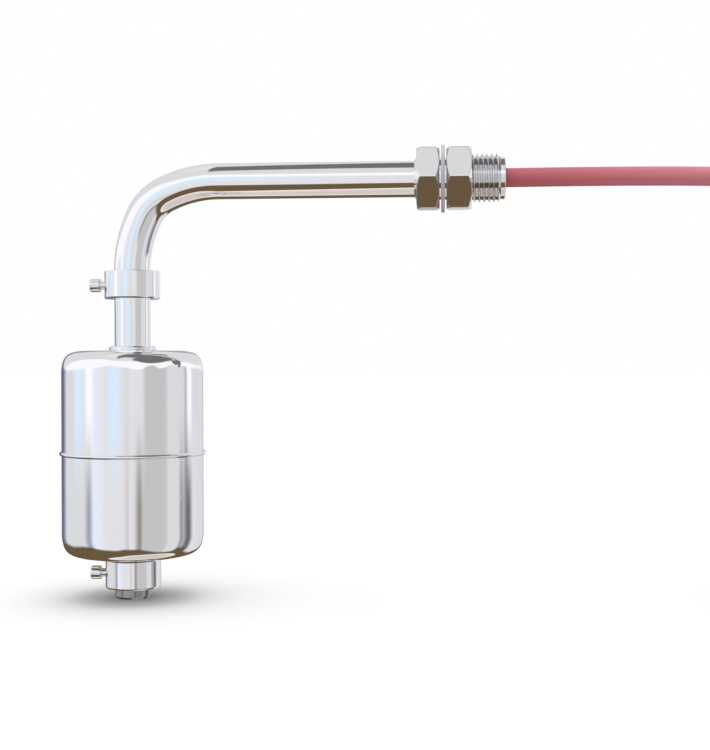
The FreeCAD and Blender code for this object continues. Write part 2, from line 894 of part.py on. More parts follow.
# Checks and files
def check_document():
    """Stops if any object of the document failed, or if a sub-part isn't one valid shape."""
    doc.recompute()
    for item in doc.Objects:
        if "Invalid" in item.State or "Error" in item.State:
            raise RuntimeError(f"{item.Label} failed: {item.State}")
    for label, item in nodes.items():
        if item.Shape.isNull() or not item.Shape.isValid() or not item.Shape.Solids:
            raise RuntimeError(f"{label} has no valid shape")


def write_files():
    os.makedirs("parts", exist_ok=True)
    for label, item in nodes.items():
        item.Shape.exportStep(f"parts/{label}.step")
        box = item.Shape.optimalBoundingBox(False)
        print(
            f"{label:20s} solids {len(item.Shape.Solids)} volume {item.Shape.Volume:10.1f}"
            f"  x {box.XMin:7.1f} {box.XMax:7.1f}  y {box.YMin:6.1f} {box.YMax:6.1f}"
            f"  z {box.ZMin:7.1f} {box.ZMax:7.1f}"
        )


check_document()
write_files()
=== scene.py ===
# %% [markdown]
# # Float level switch
# A bent stainless tube carries a hollow float between two stop collars, and a red lead leaves
# through a threaded nipple. The CAD model is loaded first and stays as it is. Every piece below
# is built in its frame: metres, +X along the nipple, +Z up, the origin on the sealing face.

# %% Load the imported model
from functools import partial
from math import acos, atan2, cos, pi, radians, sin, tan

import bmesh
import bpy
from mathutils import Matrix, Vector


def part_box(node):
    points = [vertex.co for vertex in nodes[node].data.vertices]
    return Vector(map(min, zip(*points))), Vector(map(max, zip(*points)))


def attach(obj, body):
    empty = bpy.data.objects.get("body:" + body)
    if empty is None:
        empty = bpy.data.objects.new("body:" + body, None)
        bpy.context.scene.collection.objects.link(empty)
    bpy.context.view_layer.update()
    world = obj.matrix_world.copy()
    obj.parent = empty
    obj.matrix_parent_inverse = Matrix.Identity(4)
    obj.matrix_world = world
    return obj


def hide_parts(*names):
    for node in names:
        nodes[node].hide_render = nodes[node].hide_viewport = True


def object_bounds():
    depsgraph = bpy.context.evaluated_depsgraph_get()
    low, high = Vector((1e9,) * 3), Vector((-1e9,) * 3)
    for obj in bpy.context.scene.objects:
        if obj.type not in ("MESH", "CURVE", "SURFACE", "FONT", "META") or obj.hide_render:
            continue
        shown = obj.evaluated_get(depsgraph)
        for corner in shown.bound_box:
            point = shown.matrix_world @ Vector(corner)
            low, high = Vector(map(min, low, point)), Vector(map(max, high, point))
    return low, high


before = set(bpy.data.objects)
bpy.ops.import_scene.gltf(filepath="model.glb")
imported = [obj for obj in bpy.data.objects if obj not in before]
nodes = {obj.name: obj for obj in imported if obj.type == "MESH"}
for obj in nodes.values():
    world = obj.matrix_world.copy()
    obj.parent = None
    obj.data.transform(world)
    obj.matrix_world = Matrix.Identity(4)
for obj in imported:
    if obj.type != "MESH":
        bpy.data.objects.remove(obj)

MM = 0.001
FULL_TURN = 2 * pi
scene = bpy.context.scene
cad_low, cad_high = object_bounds()
print("CAD box in mm:", [round(side / MM, 1) for side in cad_high - cad_low])


def placed(name, data):
    """A new object with the given data, linked into the scene."""
    item = bpy.data.objects.new(name, data)
    scene.collection.objects.link(item)
    return item


# %% [markdown]
# ## Camera
# The photograph was taken from almost straight in front, a little below the arm's height, with a
# long lens. The place and the angles were fitted to the edges of tube, float and hexagons.

# %% Camera
CAMERA_PLACE = Vector((3.65, -683.9, -96.2)) * MM
CAMERA_YAW = radians(4.05)
CAMERA_PITCH = radians(-0.58)
CAMERA_ROLL = radians(-0.1)
LENS_MM = 62.2
SENSOR_MM = 36.0

camera_data = bpy.data.cameras.new("photo_camera")
camera_data.lens = LENS_MM
camera_data.sensor_width = SENSOR_MM
camera_data.sensor_fit = "AUTO"
camera = placed("photo_camera", camera_data)
turn = Matrix.Rotation(CAMERA_YAW, 4, "Z") @ Matrix.Rotation(pi / 2 + CAMERA_PITCH, 4, "X")
camera.matrix_world = Matrix.Translation(CAMERA_PLACE) @ turn @ Matrix.Rotation(CAMERA_ROLL, 4, "Z")
scene.camera = camera
aim = camera.matrix_world.to_3x3() @ Vector((0, 0, -1))
print("camera looks along", [round(part, 3) for part in aim])

# %% [markdown]
# ## Helpers for nodes
# Materials, the studio and the geometry trees are all built from the same few steps: make a
# node, set its values and link it. A few small functions keep those steps short.

# %% Node helpers
def feed(tree, socket, value):
    """Links an output, or a node's first output, to a socket, or sets it to a plain value."""
    if isinstance(value, bpy.types.Node):
        value = value.outputs[0]
    if isinstance(value, bpy.types.NodeSocket):
        tree.links.new(value, socket)
    elif value is not None:
        socket.default_value = value


def set_inputs(tree, item, **values):
    """Feeds a node's inputs by name, with _ for each space."""
    for name, value in values.items():
        feed(tree, item.inputs[name.replace("_", " ")], value)


def node(tree, kind, settings=None, **values):
    """A new node. Settings are its properties, values its inputs."""
    item = tree.nodes.new(kind)
    for name, value in (settings or {}).items():
        setattr(item, name, value)
    set_inputs(tree, item, **values)
    return item


def cleared(owner):
    """The empty node tree of a world or a material."""
    owner.use_nodes = True
    owner.node_tree.nodes.clear()
    return owner.node_tree


# %% Steps of arithmetic and colour
def maths(tree, operation, *values):
    """One step of arithmetic on plain numbers, nodes or outputs."""
    item = node(tree, "ShaderNodeMath", {"operation": operation})
    for socket, value in zip(item.inputs, values):
        feed(tree, socket, value)
    return item


def vectors(tree, operation, first, second=None):
    """One step of vector arithmetic. A length comes out as a number, the rest as vectors."""
    item = node(tree, "ShaderNodeVectorMath", {"operation": operation})
    feed(tree, item.inputs[0], first)
    feed(tree, item.inputs[3 if operation == "SCALE" else 1], second)
    return item.outputs["Value" if operation == "LENGTH" else "Vector"]


def axes_of(tree, vector):
    """The X, Y and Z of a vector."""
    return node(tree, "ShaderNodeSeparateXYZ", Vector=vector).outputs


def mapped(tree, value, low, high, to_low=0.0, to_high=1.0, **settings):
    """The range from low to high stretched to another one, and held within it."""
    return node(
        tree, "ShaderNodeMapRange", settings, Value=value, From_Min=low, From_Max=high,
        To_Min=to_low, To_Max=to_high,
    )


def colour_ramp(tree, factor, stops):
    """A colour ramp with a list of (position, colour)."""
    ramp = node(tree, "ShaderNodeValToRGB", Fac=factor)
    elements = ramp.color_ramp.elements
    while len(elements) < len(stops):
        elements.new(1.0)
    for element, (position, colour) in zip(elements, stops):
        element.position = position
        element.color = (*colour, 1.0)
    return ramp


def mixed(tree, factor, first, second):
    """Two colours blended by a factor."""
    item = tree.nodes.new("ShaderNodeMix")
    item.data_type = "RGBA"
    feed(tree, item.inputs["Factor"], factor)
    for socket, value in ((item.inputs[6], first), (item.inputs[7], second)):
        feed(tree, socket, (*value, 1.0) if isinstance(value, tuple) else value)
    return item.outputs[2]


# %% [markdown]
# ## Studio
# Polished steel shows its surroundings, so most of its look is the room. The room is a world
# shader that reads only the direction: tall pale and grey panels round the horizon, a lit frieze
# above them under a pale ceiling with dark openings, and a brown floor with a cream patch in its
# middle. Rubber and the floor only gather light, so they get a plain bright sky, and the camera
# sees plain white. All heights in the room are sines of the angle above the horizon.

# %% Colours of the room
WHITE = (1.05, 1.05, 1.06)
SKY = (0.73, 0.90, 1.06)
HAZE = (0.84, 0.89, 1.01)
PALE = (0.81, 0.81, 0.84)
SILVER = (0.745, 0.75, 0.775)
PEARL = (0.757, 0.757, 0.765)
GLOW = (1.02, 1.03, 1.08)
GREY = (0.58, 0.58, 0.58)
SLATE = (0.46, 0.48, 0.53)
DUSK = (0.31, 0.35, 0.45)
INK = (0.10, 0.12, 0.19)
DARK = (0.16, 0.16, 0.165)
LINEN = (0.68, 0.63, 0.61)
BARK = (0.32, 0.275, 0.235)
BROWN = (0.148, 0.100, 0.055)
CREAM = (0.67, 0.62, 0.58)
CREAM_EDGE = (0.92, 0.85, 0.82)

# Panels at eye level and above it, by the angle from the camera's side towards +X
HIGH_PANELS = [
    (-180, SLATE), (-165, DUSK), (-136, INK), (-127, DUSK), (-119, SILVER), (-98, SILVER),
    (-91, SKY), (-78, SKY), (-71, PALE), (-64, WHITE), (-56, WHITE), (-51, HAZE), (-30, PALE),
    (-22, SKY), (-11, SKY), (-4, PALE), (4, SILVER), (12, PALE), (28, PALE), (35, GREY),
    (66, GREY), (73, SILVER), (103, SILVER), (109, SLATE), (114, WHITE), (120, WHITE),
    (127, SILVER), (165, SILVER), (176, GREY),
]
# Panels below eye level, where furniture stands between them
LOW_PANELS = [
    (-180, GREY), (-165, DUSK), (-140, INK), (-128, DUSK), (-119, SILVER), (-71, SILVER),
    (-65, SLATE), (-60, DUSK), (-52, HAZE), (-42, HAZE), (-30, PALE), (-2, PALE), (4, LINEN),
    (10, PALE), (16, SILVER), (19, SLATE), (23, BARK), (25, BARK), (29, GREY), (66, GREY),
    (73, SILVER), (92, SILVER), (97, BARK), (101, SLATE), (106, DUSK), (110, DARK),
    (117, DARK), (122, SLATE), (127, PALE), (150, SILVER), (165, SILVER), (176, GREY),
]
# How far below the horizon each wall reaches before the brown floor starts
WALL_FOOT = [
    (-180, 0.12), (-127, 0.23), (-102, 0.34), (-80, 0.36), (-62, 0.39), (-48, 0.47), (-34, 0.52),
    (-20, 0.55), (-9, 0.54), (-2, 0.51), (9, 0.53), (23, 0.52), (37, 0.58), (53, 0.63), (71, 0.64),
    (86, 0.60), (98, 0.46), (113, 0.44), (125, 0.62), (155, 0.62), (172, 0.30), (180, 0.12),
]
# Where the lit frieze above the walls starts and where it ends
GLOW_FOOT = [
    (-180, 0.40), (-152, 0.30), (-136, 0.06), (-110, 0.05), (-95, 0.10), (-69, 0.15), (-50, 0.21),
    (-33, 0.31), (-22, 0.35), (1, 0.29), (17, 0.18), (28, 0.20), (37, 0.33), (48, 0.38),
    (57, 0.22), (66, 0.24), (79, 0.34), (103, 0.25), (121, 0.15), (140, 0.10), (180, 0.0),
]
GLOW_TOP = [
    (-180, 0.0), (-125, 0.05), (-112, 0.20), (-100, 0.31), (-84, 0.54), (-65, 0.65), (-46, 0.72),
    (-19, 0.57), (10, 0.55), (28, 0.51), (41, 0.43), (62, 0.48), (81, 0.43), (104, 0.36),
    (117, 0.32), (140, 0.15), (180, 0.0),
]
CEILING = [(0.0, PEARL), (0.895, PEARL), (0.93, PALE), (1.0, PALE)]
# The patch and the openings lie on level planes, 1 below the part and 1 above it. An opening is
# an ellipse: its middle, and 1 over its half width along each axis.
PATCH_CENTRE = (0.23, 0.05, 0.0)
PATCH_RADIUS = 0.61
OPENINGS = [
    ((0.14, 0.095, 0.0), (2.5, 1.95, 0.0)), ((0.95, -0.62, 0.0), (1.28, 1.18, 0.0)),
    ((2.25, 0.10, 0.0), (1.25, 4.0, 0.0)), ((3.25, 0.45, 0.0), (0.75, 5.5, 0.0)),
]
# On the -X side of this place the openings bend towards the camera and the patch leans away
LEAN_START = -0.03
PATCH_LEAN = 0.9
OPENING_LEAN = 12.5

# %% World shader: directions
world = bpy.data.worlds.new("studio")
scene.world = world
room = cleared(world)
work_out = partial(maths, room)
blend = partial(mixed, room)
shift = partial(vectors, room)
LEAST_STEEPNESS = 0.05

direction = node(room, "ShaderNodeTexCoord").outputs["Generated"]
axes = axes_of(room, direction)
height = axes["Z"]
around = work_out("ARCTAN2", axes["X"], work_out("MULTIPLY", axes["Y"], -1.0))
around = work_out("ADD", work_out("DIVIDE", around, FULL_TURN), 0.5)
steepness = work_out("MAXIMUM", work_out("ABSOLUTE", height), LEAST_STEEPNESS)
on_plane = shift("SCALE", direction, work_out("DIVIDE", 1.0, steepness))
on_plane = shift("MULTIPLY", on_plane, (1.0, 1.0, 0.0))

# %% World shader: walls, frieze and ceiling
EYE_LEVEL = (-0.115, -0.03)
GLOW_FOOT_EDGE = (-0.03, 0.04)
GLOW_TOP_EDGE = (-0.03, 0.07)
eased = partial(mapped, room, interpolation_type="SMOOTHSTEP")


def panels(bands):
    """A ramp round the horizon from a list of (angle in degrees, colour or share)."""
    stops = []
    for angle, tone in bands:
        stops.append((angle / 360 + 0.5, tone if isinstance(tone, tuple) else (tone,) * 3))
    return colour_ramp(room, around, stops)


walls = blend(eased(height, *EYE_LEVEL), panels(LOW_PANELS), panels(HIGH_PANELS))
over_frieze = work_out("SUBTRACT", height, panels(GLOW_TOP))
ceiling = colour_ramp(room, height, CEILING)
ceiling = blend(eased(over_frieze, *GLOW_TOP_EDGE), GLOW, ceiling)
over_walls = work_out("SUBTRACT", height, panels(GLOW_FOOT))
ceiling = blend(eased(over_walls, *GLOW_FOOT_EDGE), walls, ceiling)

# %% World shader: dark openings
OVERHEAD = (0.10, 0.16)
OPENING_EDGE = (1.06, 0.94)


def leaning(lean):
    """The place on the plane, moved along Y by a lean."""
    return shift("ADD", on_plane, node(room, "ShaderNodeCombineXYZ", Y=lean))


left = work_out("SUBTRACT", axes_of(room, on_plane)["X"], LEAN_START)
left = work_out("MINIMUM", left, 0.0)
bent = leaning(work_out("MULTIPLY", work_out("MULTIPLY", left, left), OPENING_LEAN))
overhead = eased(height, *OVERHEAD)
for place, scale in OPENINGS:
    away = shift("MULTIPLY", shift("SUBTRACT", bent, place), scale)
    inside = eased(shift("LENGTH", away), *OPENING_EDGE)
    ceiling = blend(work_out("MULTIPLY", inside, overhead), ceiling, DARK)

# %% World shader: brown floor with its cream patch
PATCH_EDGE = 0.025
PATCH_FADE = (0.55 * PATCH_RADIUS, 0.95 * PATCH_RADIUS)
LEAN_LIMIT = -0.15
WALL_FOOT_EDGE = (-0.04, 0.05)

leant = leaning(work_out("MULTIPLY", work_out("MAXIMUM", left, LEAN_LIMIT), PATCH_LEAN))
from_patch = shift("LENGTH", shift("SUBTRACT", leant, PATCH_CENTRE))
patch = blend(eased(from_patch, *PATCH_FADE), CREAM, CREAM_EDGE)
in_patch = eased(from_patch, PATCH_RADIUS + PATCH_EDGE, PATCH_RADIUS - PATCH_EDGE)
ground = blend(in_patch, BROWN, patch)
over_foot = work_out("ADD", height, panels(WALL_FOOT))
surroundings = blend(eased(over_foot, *WALL_FOOT_EDGE), ground, ceiling)

# %% World shader: light on matt surfaces, and white for the camera
SIDE_LIGHT = (0.80, 0.80, 0.80)
TOP_LIGHT = (2.30, 2.30, 2.30)
FLOOR_LIGHT = (0.03, 0.03, 0.03)
PLAIN_WHITE = (1.0, 1.0, 1.0)

sky = blend(eased(height, 0.8, 1.0), SIDE_LIGHT, TOP_LIGHT)
sky = blend(eased(height, -0.06, 0.0), FLOOR_LIGHT, sky)
path = node(room, "ShaderNodeLightPath").outputs
straight = work_out("LESS_THAN", path["Diffuse Depth"], 0.5)
lit = blend(work_out("MULTIPLY", path["Is Glossy Ray"], straight), sky, surroundings)
lit = blend(path["Is Camera Ray"], lit, PLAIN_WHITE)
background = node(room, "ShaderNodeBackground", Color=lit, Strength=1.0)
node(room, "ShaderNodeOutputWorld", Surface=background)
scene.view_settings.view_transform = "Standard"
print("room shader:", len(room.nodes), "nodes")

# %% [markdown]
# ## Floor
# The floor is plain and pale, and only the soft shadow under the float shows on it. Its colour is
# pure white to the camera and darker to the other rays, so little light comes back from below.
# Steel doesn't see it: its reflections come from the room alone.

# %% Floor
FLOOR_HEIGHT = cad_low.z
FLOOR_REACH = 12.0
FLOOR_TONE = (0.45, 0.45, 0.45)

floor_mesh = bpy.data.meshes.new("studio_floor")
corners = [(x * FLOOR_REACH, y * FLOOR_REACH) for x, y in ((-1, -1), (1, -1), (1, 1), (-1, 1))]
floor_mesh.from_pydata([(x, y, FLOOR_HEIGHT) for x, y in corners], [], [(0, 1, 2, 3)])
floor = placed("studio_floor", floor_mesh)
floor_material = bpy.data.materials.new("studio_floor")
tree = cleared(floor_material)
seen = node(tree, "ShaderNodeLightPath").outputs["Is Camera Ray"]
matt = node(tree, "ShaderNodeBsdfDiffuse", Color=mixed(tree, seen, FLOOR_TONE, PLAIN_WHITE))
node(tree, "ShaderNodeOutputMaterial", Surface=matt)
floor_mesh.materials.append(floor_material)
floor.visible_glossy = False
print("floor at", round(FLOOR_HEIGHT / MM, 1), "mm")

# %% [markdown]
# ## Shared finishes
# Two effects come back in several materials, so each is a node group. Polish marks are the
# faint smears and hair lines that every handled steel part has: they change only roughness and
# a very low bump. Fine grain is the mottling of rubber, resin, laminate and sintered parts.

# %% Group: polish marks
def new_group(name, inputs, outputs):
    """An empty shader group with named float, vector or colour sockets."""
    group = bpy.data.node_groups.new(name, "ShaderNodeTree")
    for side, sockets in (("INPUT", inputs), ("OUTPUT", outputs)):
        for label, kind in sockets.items():
            group.interface.new_socket(name=label, in_out=side, socket_type="NodeSocket" + kind)
    given = group.nodes.new("NodeGroupInput").outputs
    return group, given, group.nodes.new("NodeGroupOutput")


def noise(tree, place, scale, detail):
    """A soft random pattern between 0 and 1."""
    return node(tree, "ShaderNodeTexNoise", Vector=place, Scale=scale, Detail=detail)


polish_marks, given, result = new_group(
    "Polish marks",
    {"Vector": "Vector", "Scale": "Float", "Clean": "Float", "Smeared": "Float"},
    {"Roughness": "Float", "Height": "Float"},
)
HAIR_FINENESS = 24.0
smear = noise(polish_marks, given["Vector"], given["Scale"], 3.0)
smear = mapped(polish_marks, smear, 0.45, 0.75, given["Clean"], given["Smeared"])
hair_scale = maths(polish_marks, "MULTIPLY", given["Scale"], HAIR_FINENESS)
hair = noise(polish_marks, given["Vector"], hair_scale, 2.0)
set_inputs(polish_marks, result, Roughness=smear, Height=hair)

# %% Group: fine grain
fine_grain, given, result = new_group(
    "Fine grain",
    {"Vector": "Vector", "Scale": "Float", "Light": "Color", "Deep": "Color", "Roughness": "Float"},
    {"Color": "Color", "Roughness": "Float", "Height": "Float"},
)
SPECK_FINENESS = 6.0
PORE_DEPTH = 0.2
mottle = noise(fine_grain, given["Vector"], given["Scale"], 5.0)
share = mapped(fine_grain, mottle, 0.3, 0.7)
pores = maths(fine_grain, "MULTIPLY", maths(fine_grain, "SUBTRACT", mottle, 0.5), PORE_DEPTH)
speck_scale = maths(fine_grain, "MULTIPLY", given["Scale"], SPECK_FINENESS)
set_inputs(
    fine_grain, result, Color=mixed(fine_grain, share, given["Deep"], given["Light"]),
    Roughness=maths(fine_grain, "ADD", given["Roughness"], pores),
    Height=noise(fine_grain, given["Vector"], speck_scale, 1.0),
)
print("groups:", polish_marks.name, "and", fine_grain.name)

# %% [markdown]
# ## Materials
# Steel is one recipe with different tones and marks: the tubes and the float are mirror
# polished, hexagons and nipple are bright turned bar. The hair lines run along each piece, which
# a stretched pattern gives. The soft materials share the grain group.

# %% Steel recipe
RELIEF_DEPTH = 0.1 * MM


def start_material(name):
    """A material with an empty tree, its Principled shader and Object coordinates."""
    material = bpy.data.materials.new(name)
    tree = cleared(material)
    shader = node(tree, "ShaderNodeBsdfPrincipled")
    node(tree, "ShaderNodeOutputMaterial", Surface=shader)
    return material, tree, shader, node(tree, "ShaderNodeTexCoord").outputs["Object"]


def placed_group(tree, group, **values):
    """A shader group's node in a material, with its values."""
    return node(tree, "ShaderNodeGroup", {"node_tree": group}, **values).outputs


def bumped(tree, height, strength):
    """The normals of a very fine relief."""
    return node(tree, "ShaderNodeBump", Height=height, Strength=strength, Distance=RELIEF_DEPTH)


def steel(name, tone, stretch, clean, smeared, scale=45.0, relief=0.03):
    """Bright steel whose marks are stretched along one axis."""
    material, tree, shader, place = start_material(name)
    drawn = node(tree, "ShaderNodeMapping", Vector=place, Scale=stretch)
    values = {"Vector": drawn, "Scale": scale, "Clean": clean, "Smeared": smeared}
    marks = placed_group(tree, polish_marks, **values)
    set_inputs(
        tree, shader, Base_Color=(*tone, 1.0), Metallic=1.0, Roughness=marks["Roughness"],
        Normal=bumped(tree, marks["Height"], relief),
    )
    return material


# %% Steels and other metals
EVENLY = (1.0, 1.0, 1.0)
ALONG_STEM = (1.0, 1.0, 0.12)
ALONG_ARM = (0.12, 1.0, 1.0)
UP_COLLAR = (1.0, 1.0, 0.4)
STEEL_TONE = (0.93, 0.93, 0.93)
BAR_TONE = (0.90, 0.90, 0.90)
# Painted shade: a darker steel tone for the tube's end and the end plug, which stand in shadow
SHADE_TONE = (0.34, 0.33, 0.325)
tube_steel = steel("polished_tube_steel", STEEL_TONE, EVENLY, 0.045, 0.08)
float_steel = steel("polished_float_steel", STEEL_TONE, ALONG_STEM, 0.055, 0.10, scale=30.0)
collar_steel = steel("polished_collar_steel", STEEL_TONE, UP_COLLAR, 0.05, 0.10)
bar_steel = steel("turned_bar_steel", BAR_TONE, ALONG_ARM, 0.05, 0.10, scale=60.0)
thread_steel = steel("thread_steel", BAR_TONE, ALONG_ARM, 0.03, 0.06, scale=60.0)
screw_steel = steel("screw_steel", (0.82, 0.82, 0.82), ALONG_ARM, 0.03, 0.07, scale=90.0)
# Painted shade: the end plug's steel is darkened for the shadow under the collar and float
painted_shade_steel = steel("plug_steel_painted_shade", SHADE_TONE, UP_COLLAR, 0.08, 0.16)
weld_steel = steel(
    "weld_bead_steel", (0.90, 0.90, 0.91), EVENLY, 0.05, 0.12, scale=160.0, relief=0.08
)
contact_metal = steel("plated_contact", (0.86, 0.80, 0.64), ALONG_STEM, 0.15, 0.25, scale=300.0)
solder = steel("solder", (0.66, 0.67, 0.69), EVENLY, 0.2, 0.35, scale=400.0, relief=0.2)
copper = steel("bare_copper", (0.86, 0.50, 0.32), EVENLY, 0.18, 0.3, scale=400.0, relief=0.1)

# %% [markdown]
# ## Steels with a second tone
# The last bit of the tube below the lower collar and the end plug get a darker steel colour:
# painted shade, for the shadow under the collar and the float. The thread is a darker grey
# down in its roots. A Map Range node turns the height on the stem, or the distance from the
# nipple's axis, into the share of each tone.

# %% Tube end and thread roots
def second_tone(material, measure, low, high, near, far):
    """Blends a steel's colour from near to far while a measure of the place goes low to high."""
    tree = material.node_tree
    value = measure(tree, tree.nodes["Texture Coordinate"].outputs["Object"])
    colour = mixed(tree, mapped(tree, value, low, high), near, far)
    set_inputs(tree, tree.nodes["Principled BSDF"], Base_Color=colour)


def stem_height(tree, place):
    return axes_of(tree, place)["Z"]


def off_axis(tree, place):
    return vectors(tree, "LENGTH", vectors(tree, "MULTIPLY", place, (0.0, 1.0, 1.0)))


SHADE_BLEND = 0.2 * MM
ROOT_INSIDE, ROOT_OUTSIDE = 11.45 * MM, 11.9 * MM
ROOT_TONE = (0.62, 0.62, 0.63)
CREST_TONE = (0.92, 0.92, 0.92)
collar_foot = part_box("lower_stop_collar")[0].z
# Painted shade: the tube turns darker below the lower collar, for the collar's shadow
second_tone(tube_steel, stem_height, collar_foot - SHADE_BLEND, collar_foot, SHADE_TONE, STEEL_TONE)
second_tone(thread_steel, off_axis, ROOT_INSIDE, ROOT_OUTSIDE, ROOT_TONE, CREST_TONE)
print("the tube is dull below", round(collar_foot / MM, 1), "mm")

# %% Grained recipe
def grained(name, light, deep, roughness, scale, relief=0.2, coat=0.0):
    """Rubber, resin, laminate or plastic with a mottled colour and a fine relief."""
    material, tree, shader, place = start_material(name)
    grain = placed_group(
        tree, fine_grain, Vector=place, Scale=scale, Light=(*light, 1.0), Deep=(*deep, 1.0),
        Roughness=roughness,
    )
    set_inputs(
        tree, shader, Base_Color=grain["Color"], Roughness=grain["Roughness"], Coat_Weight=coat,
        Normal=bumped(tree, grain["Height"], relief),
    )
    return material


gasket_rubber = grained(
    "gasket_rubber", (0.66, 0.63, 0.68), (0.58, 0.54, 0.59), 0.35, 260.0, coat=0.3
)
ferrite = grained(
    "sintered_ferrite", (0.09, 0.09, 0.10), (0.05, 0.05, 0.055), 0.6, 700.0, relief=0.4
)
laminate = grained("board_laminate", (0.10, 0.30, 0.17), (0.07, 0.24, 0.13), 0.4, 500.0)
resin = grained("potting_resin", (0.05, 0.05, 0.055), (0.03, 0.03, 0.035), 0.3, 180.0)
white_jacket = grained("white_wire_jacket", (0.85, 0.84, 0.80), (0.78, 0.77, 0.73), 0.45, 300.0)
black_jacket = grained("black_wire_jacket", (0.045, 0.045, 0.05), (0.03, 0.03, 0.035), 0.45, 300.0)
tie_plastic = grained("tie_plastic", (0.86, 0.86, 0.84), (0.80, 0.80, 0.78), 0.35, 200.0, coat=0.2)


# %% Silicone and glass
PALING_START, PALING_END = 34 * MM, 150 * MM
PALING_SHARE = 0.6
PALE_RED = (0.90, 0.34, 0.38)


def silicone(name):
    """Red silicone: satin, with faint lines from the extruder's die, and paler further out along X.
    """
    material, tree, shader, place = start_material(name)
    drawn = node(tree, "ShaderNodeMapping", Vector=place, Scale=(0.04, 1.0, 1.0))
    grain = placed_group(
        tree, fine_grain, Vector=drawn, Scale=420.0, Light=(0.66, 0.125, 0.165, 1.0),
        Deep=(0.56, 0.105, 0.145, 1.0), Roughness=0.42,
    )
    paling = mapped(tree, axes_of(tree, place)["X"], PALING_START, PALING_END, 0.0, PALING_SHARE)
    set_inputs(
        tree, shader, Base_Color=mixed(tree, paling, grain["Color"], PALE_RED),
        Roughness=grain["Roughness"], Coat_Weight=0.15, Coat_Roughness=0.3,
        Normal=bumped(tree, grain["Height"], 0.1),
    )
    return material


def clear_glass(name):
    """The reed's glass: clear, with faint drawing marks in its roughness."""
    material, tree, shader, place = start_material(name)
    marks = placed_group(tree, polish_marks, Vector=place, Scale=300.0, Clean=0.02, Smeared=0.08)
    set_inputs(
        tree, shader, Base_Color=(0.86, 0.97, 0.91, 1.0), Transmission_Weight=1.0, IOR=1.47,
        Roughness=marks["Roughness"],
    )
    return material


red_silicone = silicone("red_silicone")
reed_glass = clear_glass("reed_glass")
print("materials:", len(bpy.data.materials))

# %% [markdown]
# ## The lead
# The lead leaves the nipple straight, runs almost level out of the view, comes down in one wide
# bend and ends in a tied coil on the floor. It is one NURBS curve, because silicone has no
# corners: the points are the route's own, listed, and the coil's turns are a loop.

# %% Lead and coil
LEAD_DIAMETER = 10.0 * MM
LEAD_ROUTE = [
    (15.2, 0.0, 0.0), (118.0, -1.0, 0.8), (201.0, -3.5, -3.6), (254.4, -7.0, -26.6),
    (288.0, -14.0, -73.0), (291.5, -26.0, -127.0), (289.0, -39.0, -175.0),
    (272.0, -46.0, -201.2), (244.0, -50.0, -216.0), (212.0, -50.0, -216.0),
]
COIL_CENTRE = Vector((212.0, 0.0, 0.0))
COIL_RADIUS = 50.6
COIL_START_ANGLE = -90.0
COIL_TURNED = 576
COIL_STEP = 18
LOWER_TURN_HEIGHT = -216.0
UPPER_TURN_HEIGHT = -205.8
CLIMB_FROM = 285.0
CLIMB_TO = 325.0


def coil_points():
    """The coil's control points: one turn on the floor, a climb, and part of a turn on top."""
    points = []
    for turned in range(COIL_STEP, COIL_TURNED + 1, COIL_STEP):
        angle = radians(COIL_START_ANGLE - turned)
        climb = min(max((turned - CLIMB_FROM) / (CLIMB_TO - CLIMB_FROM), 0.0), 1.0)
        level = LOWER_TURN_HEIGHT + (UPPER_TURN_HEIGHT - LOWER_TURN_HEIGHT) * climb
        spot = COIL_CENTRE + Vector((cos(angle), sin(angle), 0)) * COIL_RADIUS
        points.append((spot.x, spot.y, level))
    return points


lead_curve = bpy.data.curves.new("red_lead", "CURVE")
lead_curve.dimensions = "3D"
spline = lead_curve.splines.new("NURBS")
lead_points = LEAD_ROUTE + coil_points()
spline.points.add(len(lead_points) - 1)
for point, place in zip(spline.points, lead_points):
    point.co = (*(Vector(place) * MM), 1.0)
spline.order_u = 3
spline.use_endpoint_u = True
spline.resolution_u = 12
lead_curve.bevel_depth = LEAD_DIAMETER / 2
lead_curve.bevel_resolution = 10
lead_curve.use_fill_caps = True
lead_curve.materials.append(red_silicone)
lead = placed("red_lead", lead_curve)
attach(lead, "stem")
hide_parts("cable", "cable_coil")
lead.visible_glossy = False
print("lead:", len(lead_points), "points")

# %% [markdown]
# ## Turned pieces
# Tube ends, collars, float shells and screws were all turned or drawn round one axis. Each is an
# outline spun into a mesh. A mirror finish shows every facet, so the fillets are real arcs, and
# each vertex gets the exact normal of the outline instead of an average of its faces.

# %% Outline with fillets
FILLET_STEPS = 5


def rounded(outline, closed):
    """Points and outward normals of an outline of (radius, along, fillet), metal on the left."""
    points = []
    normals = []
    count = len(outline)
    places = [Vector((radius, along)) for radius, along, _ in outline]
    for index, (_, _, fillet) in enumerate(outline):
        here = places[index]
        if not closed and index in (0, count - 1):
            run = places[1] - places[0] if index == 0 else places[-1] - places[-2]
            points.append(here)
            normals.append(Vector((run.y, -run.x)).normalized())
            continue
        run_in = (here - places[index - 1]).normalized()
        run_out = (places[(index + 1) % count] - here).normalized()
        turned = atan2(run_in.x * run_out.y - run_in.y * run_out.x, run_in.dot(run_out))
        side = 1 if turned > 0 else -1
        normal = Vector((run_in.y, -run_in.x))
        centre = here - run_in * fillet * tan(abs(turned) / 2) - normal * fillet * side
        for step in range(FILLET_STEPS + 1):
            spun = Matrix.Rotation(turned * step / FILLET_STEPS, 2) @ normal
            points.append(centre + spun * fillet * side)
            normals.append(spun)
    return points, normals


# %% Spin an outline into a mesh
def smooth_mesh(name, vertices, faces, normals=None):
    """A mesh with smooth faces, and with a normal of its own at each vertex if they are given."""
    mesh = bpy.data.meshes.new(name)
    mesh.from_pydata(vertices, [], faces)
    mesh.polygons.foreach_set("use_smooth", [True] * len(mesh.polygons))
    if normals:
        mesh.normals_split_custom_set_from_vertices(normals)
    return mesh


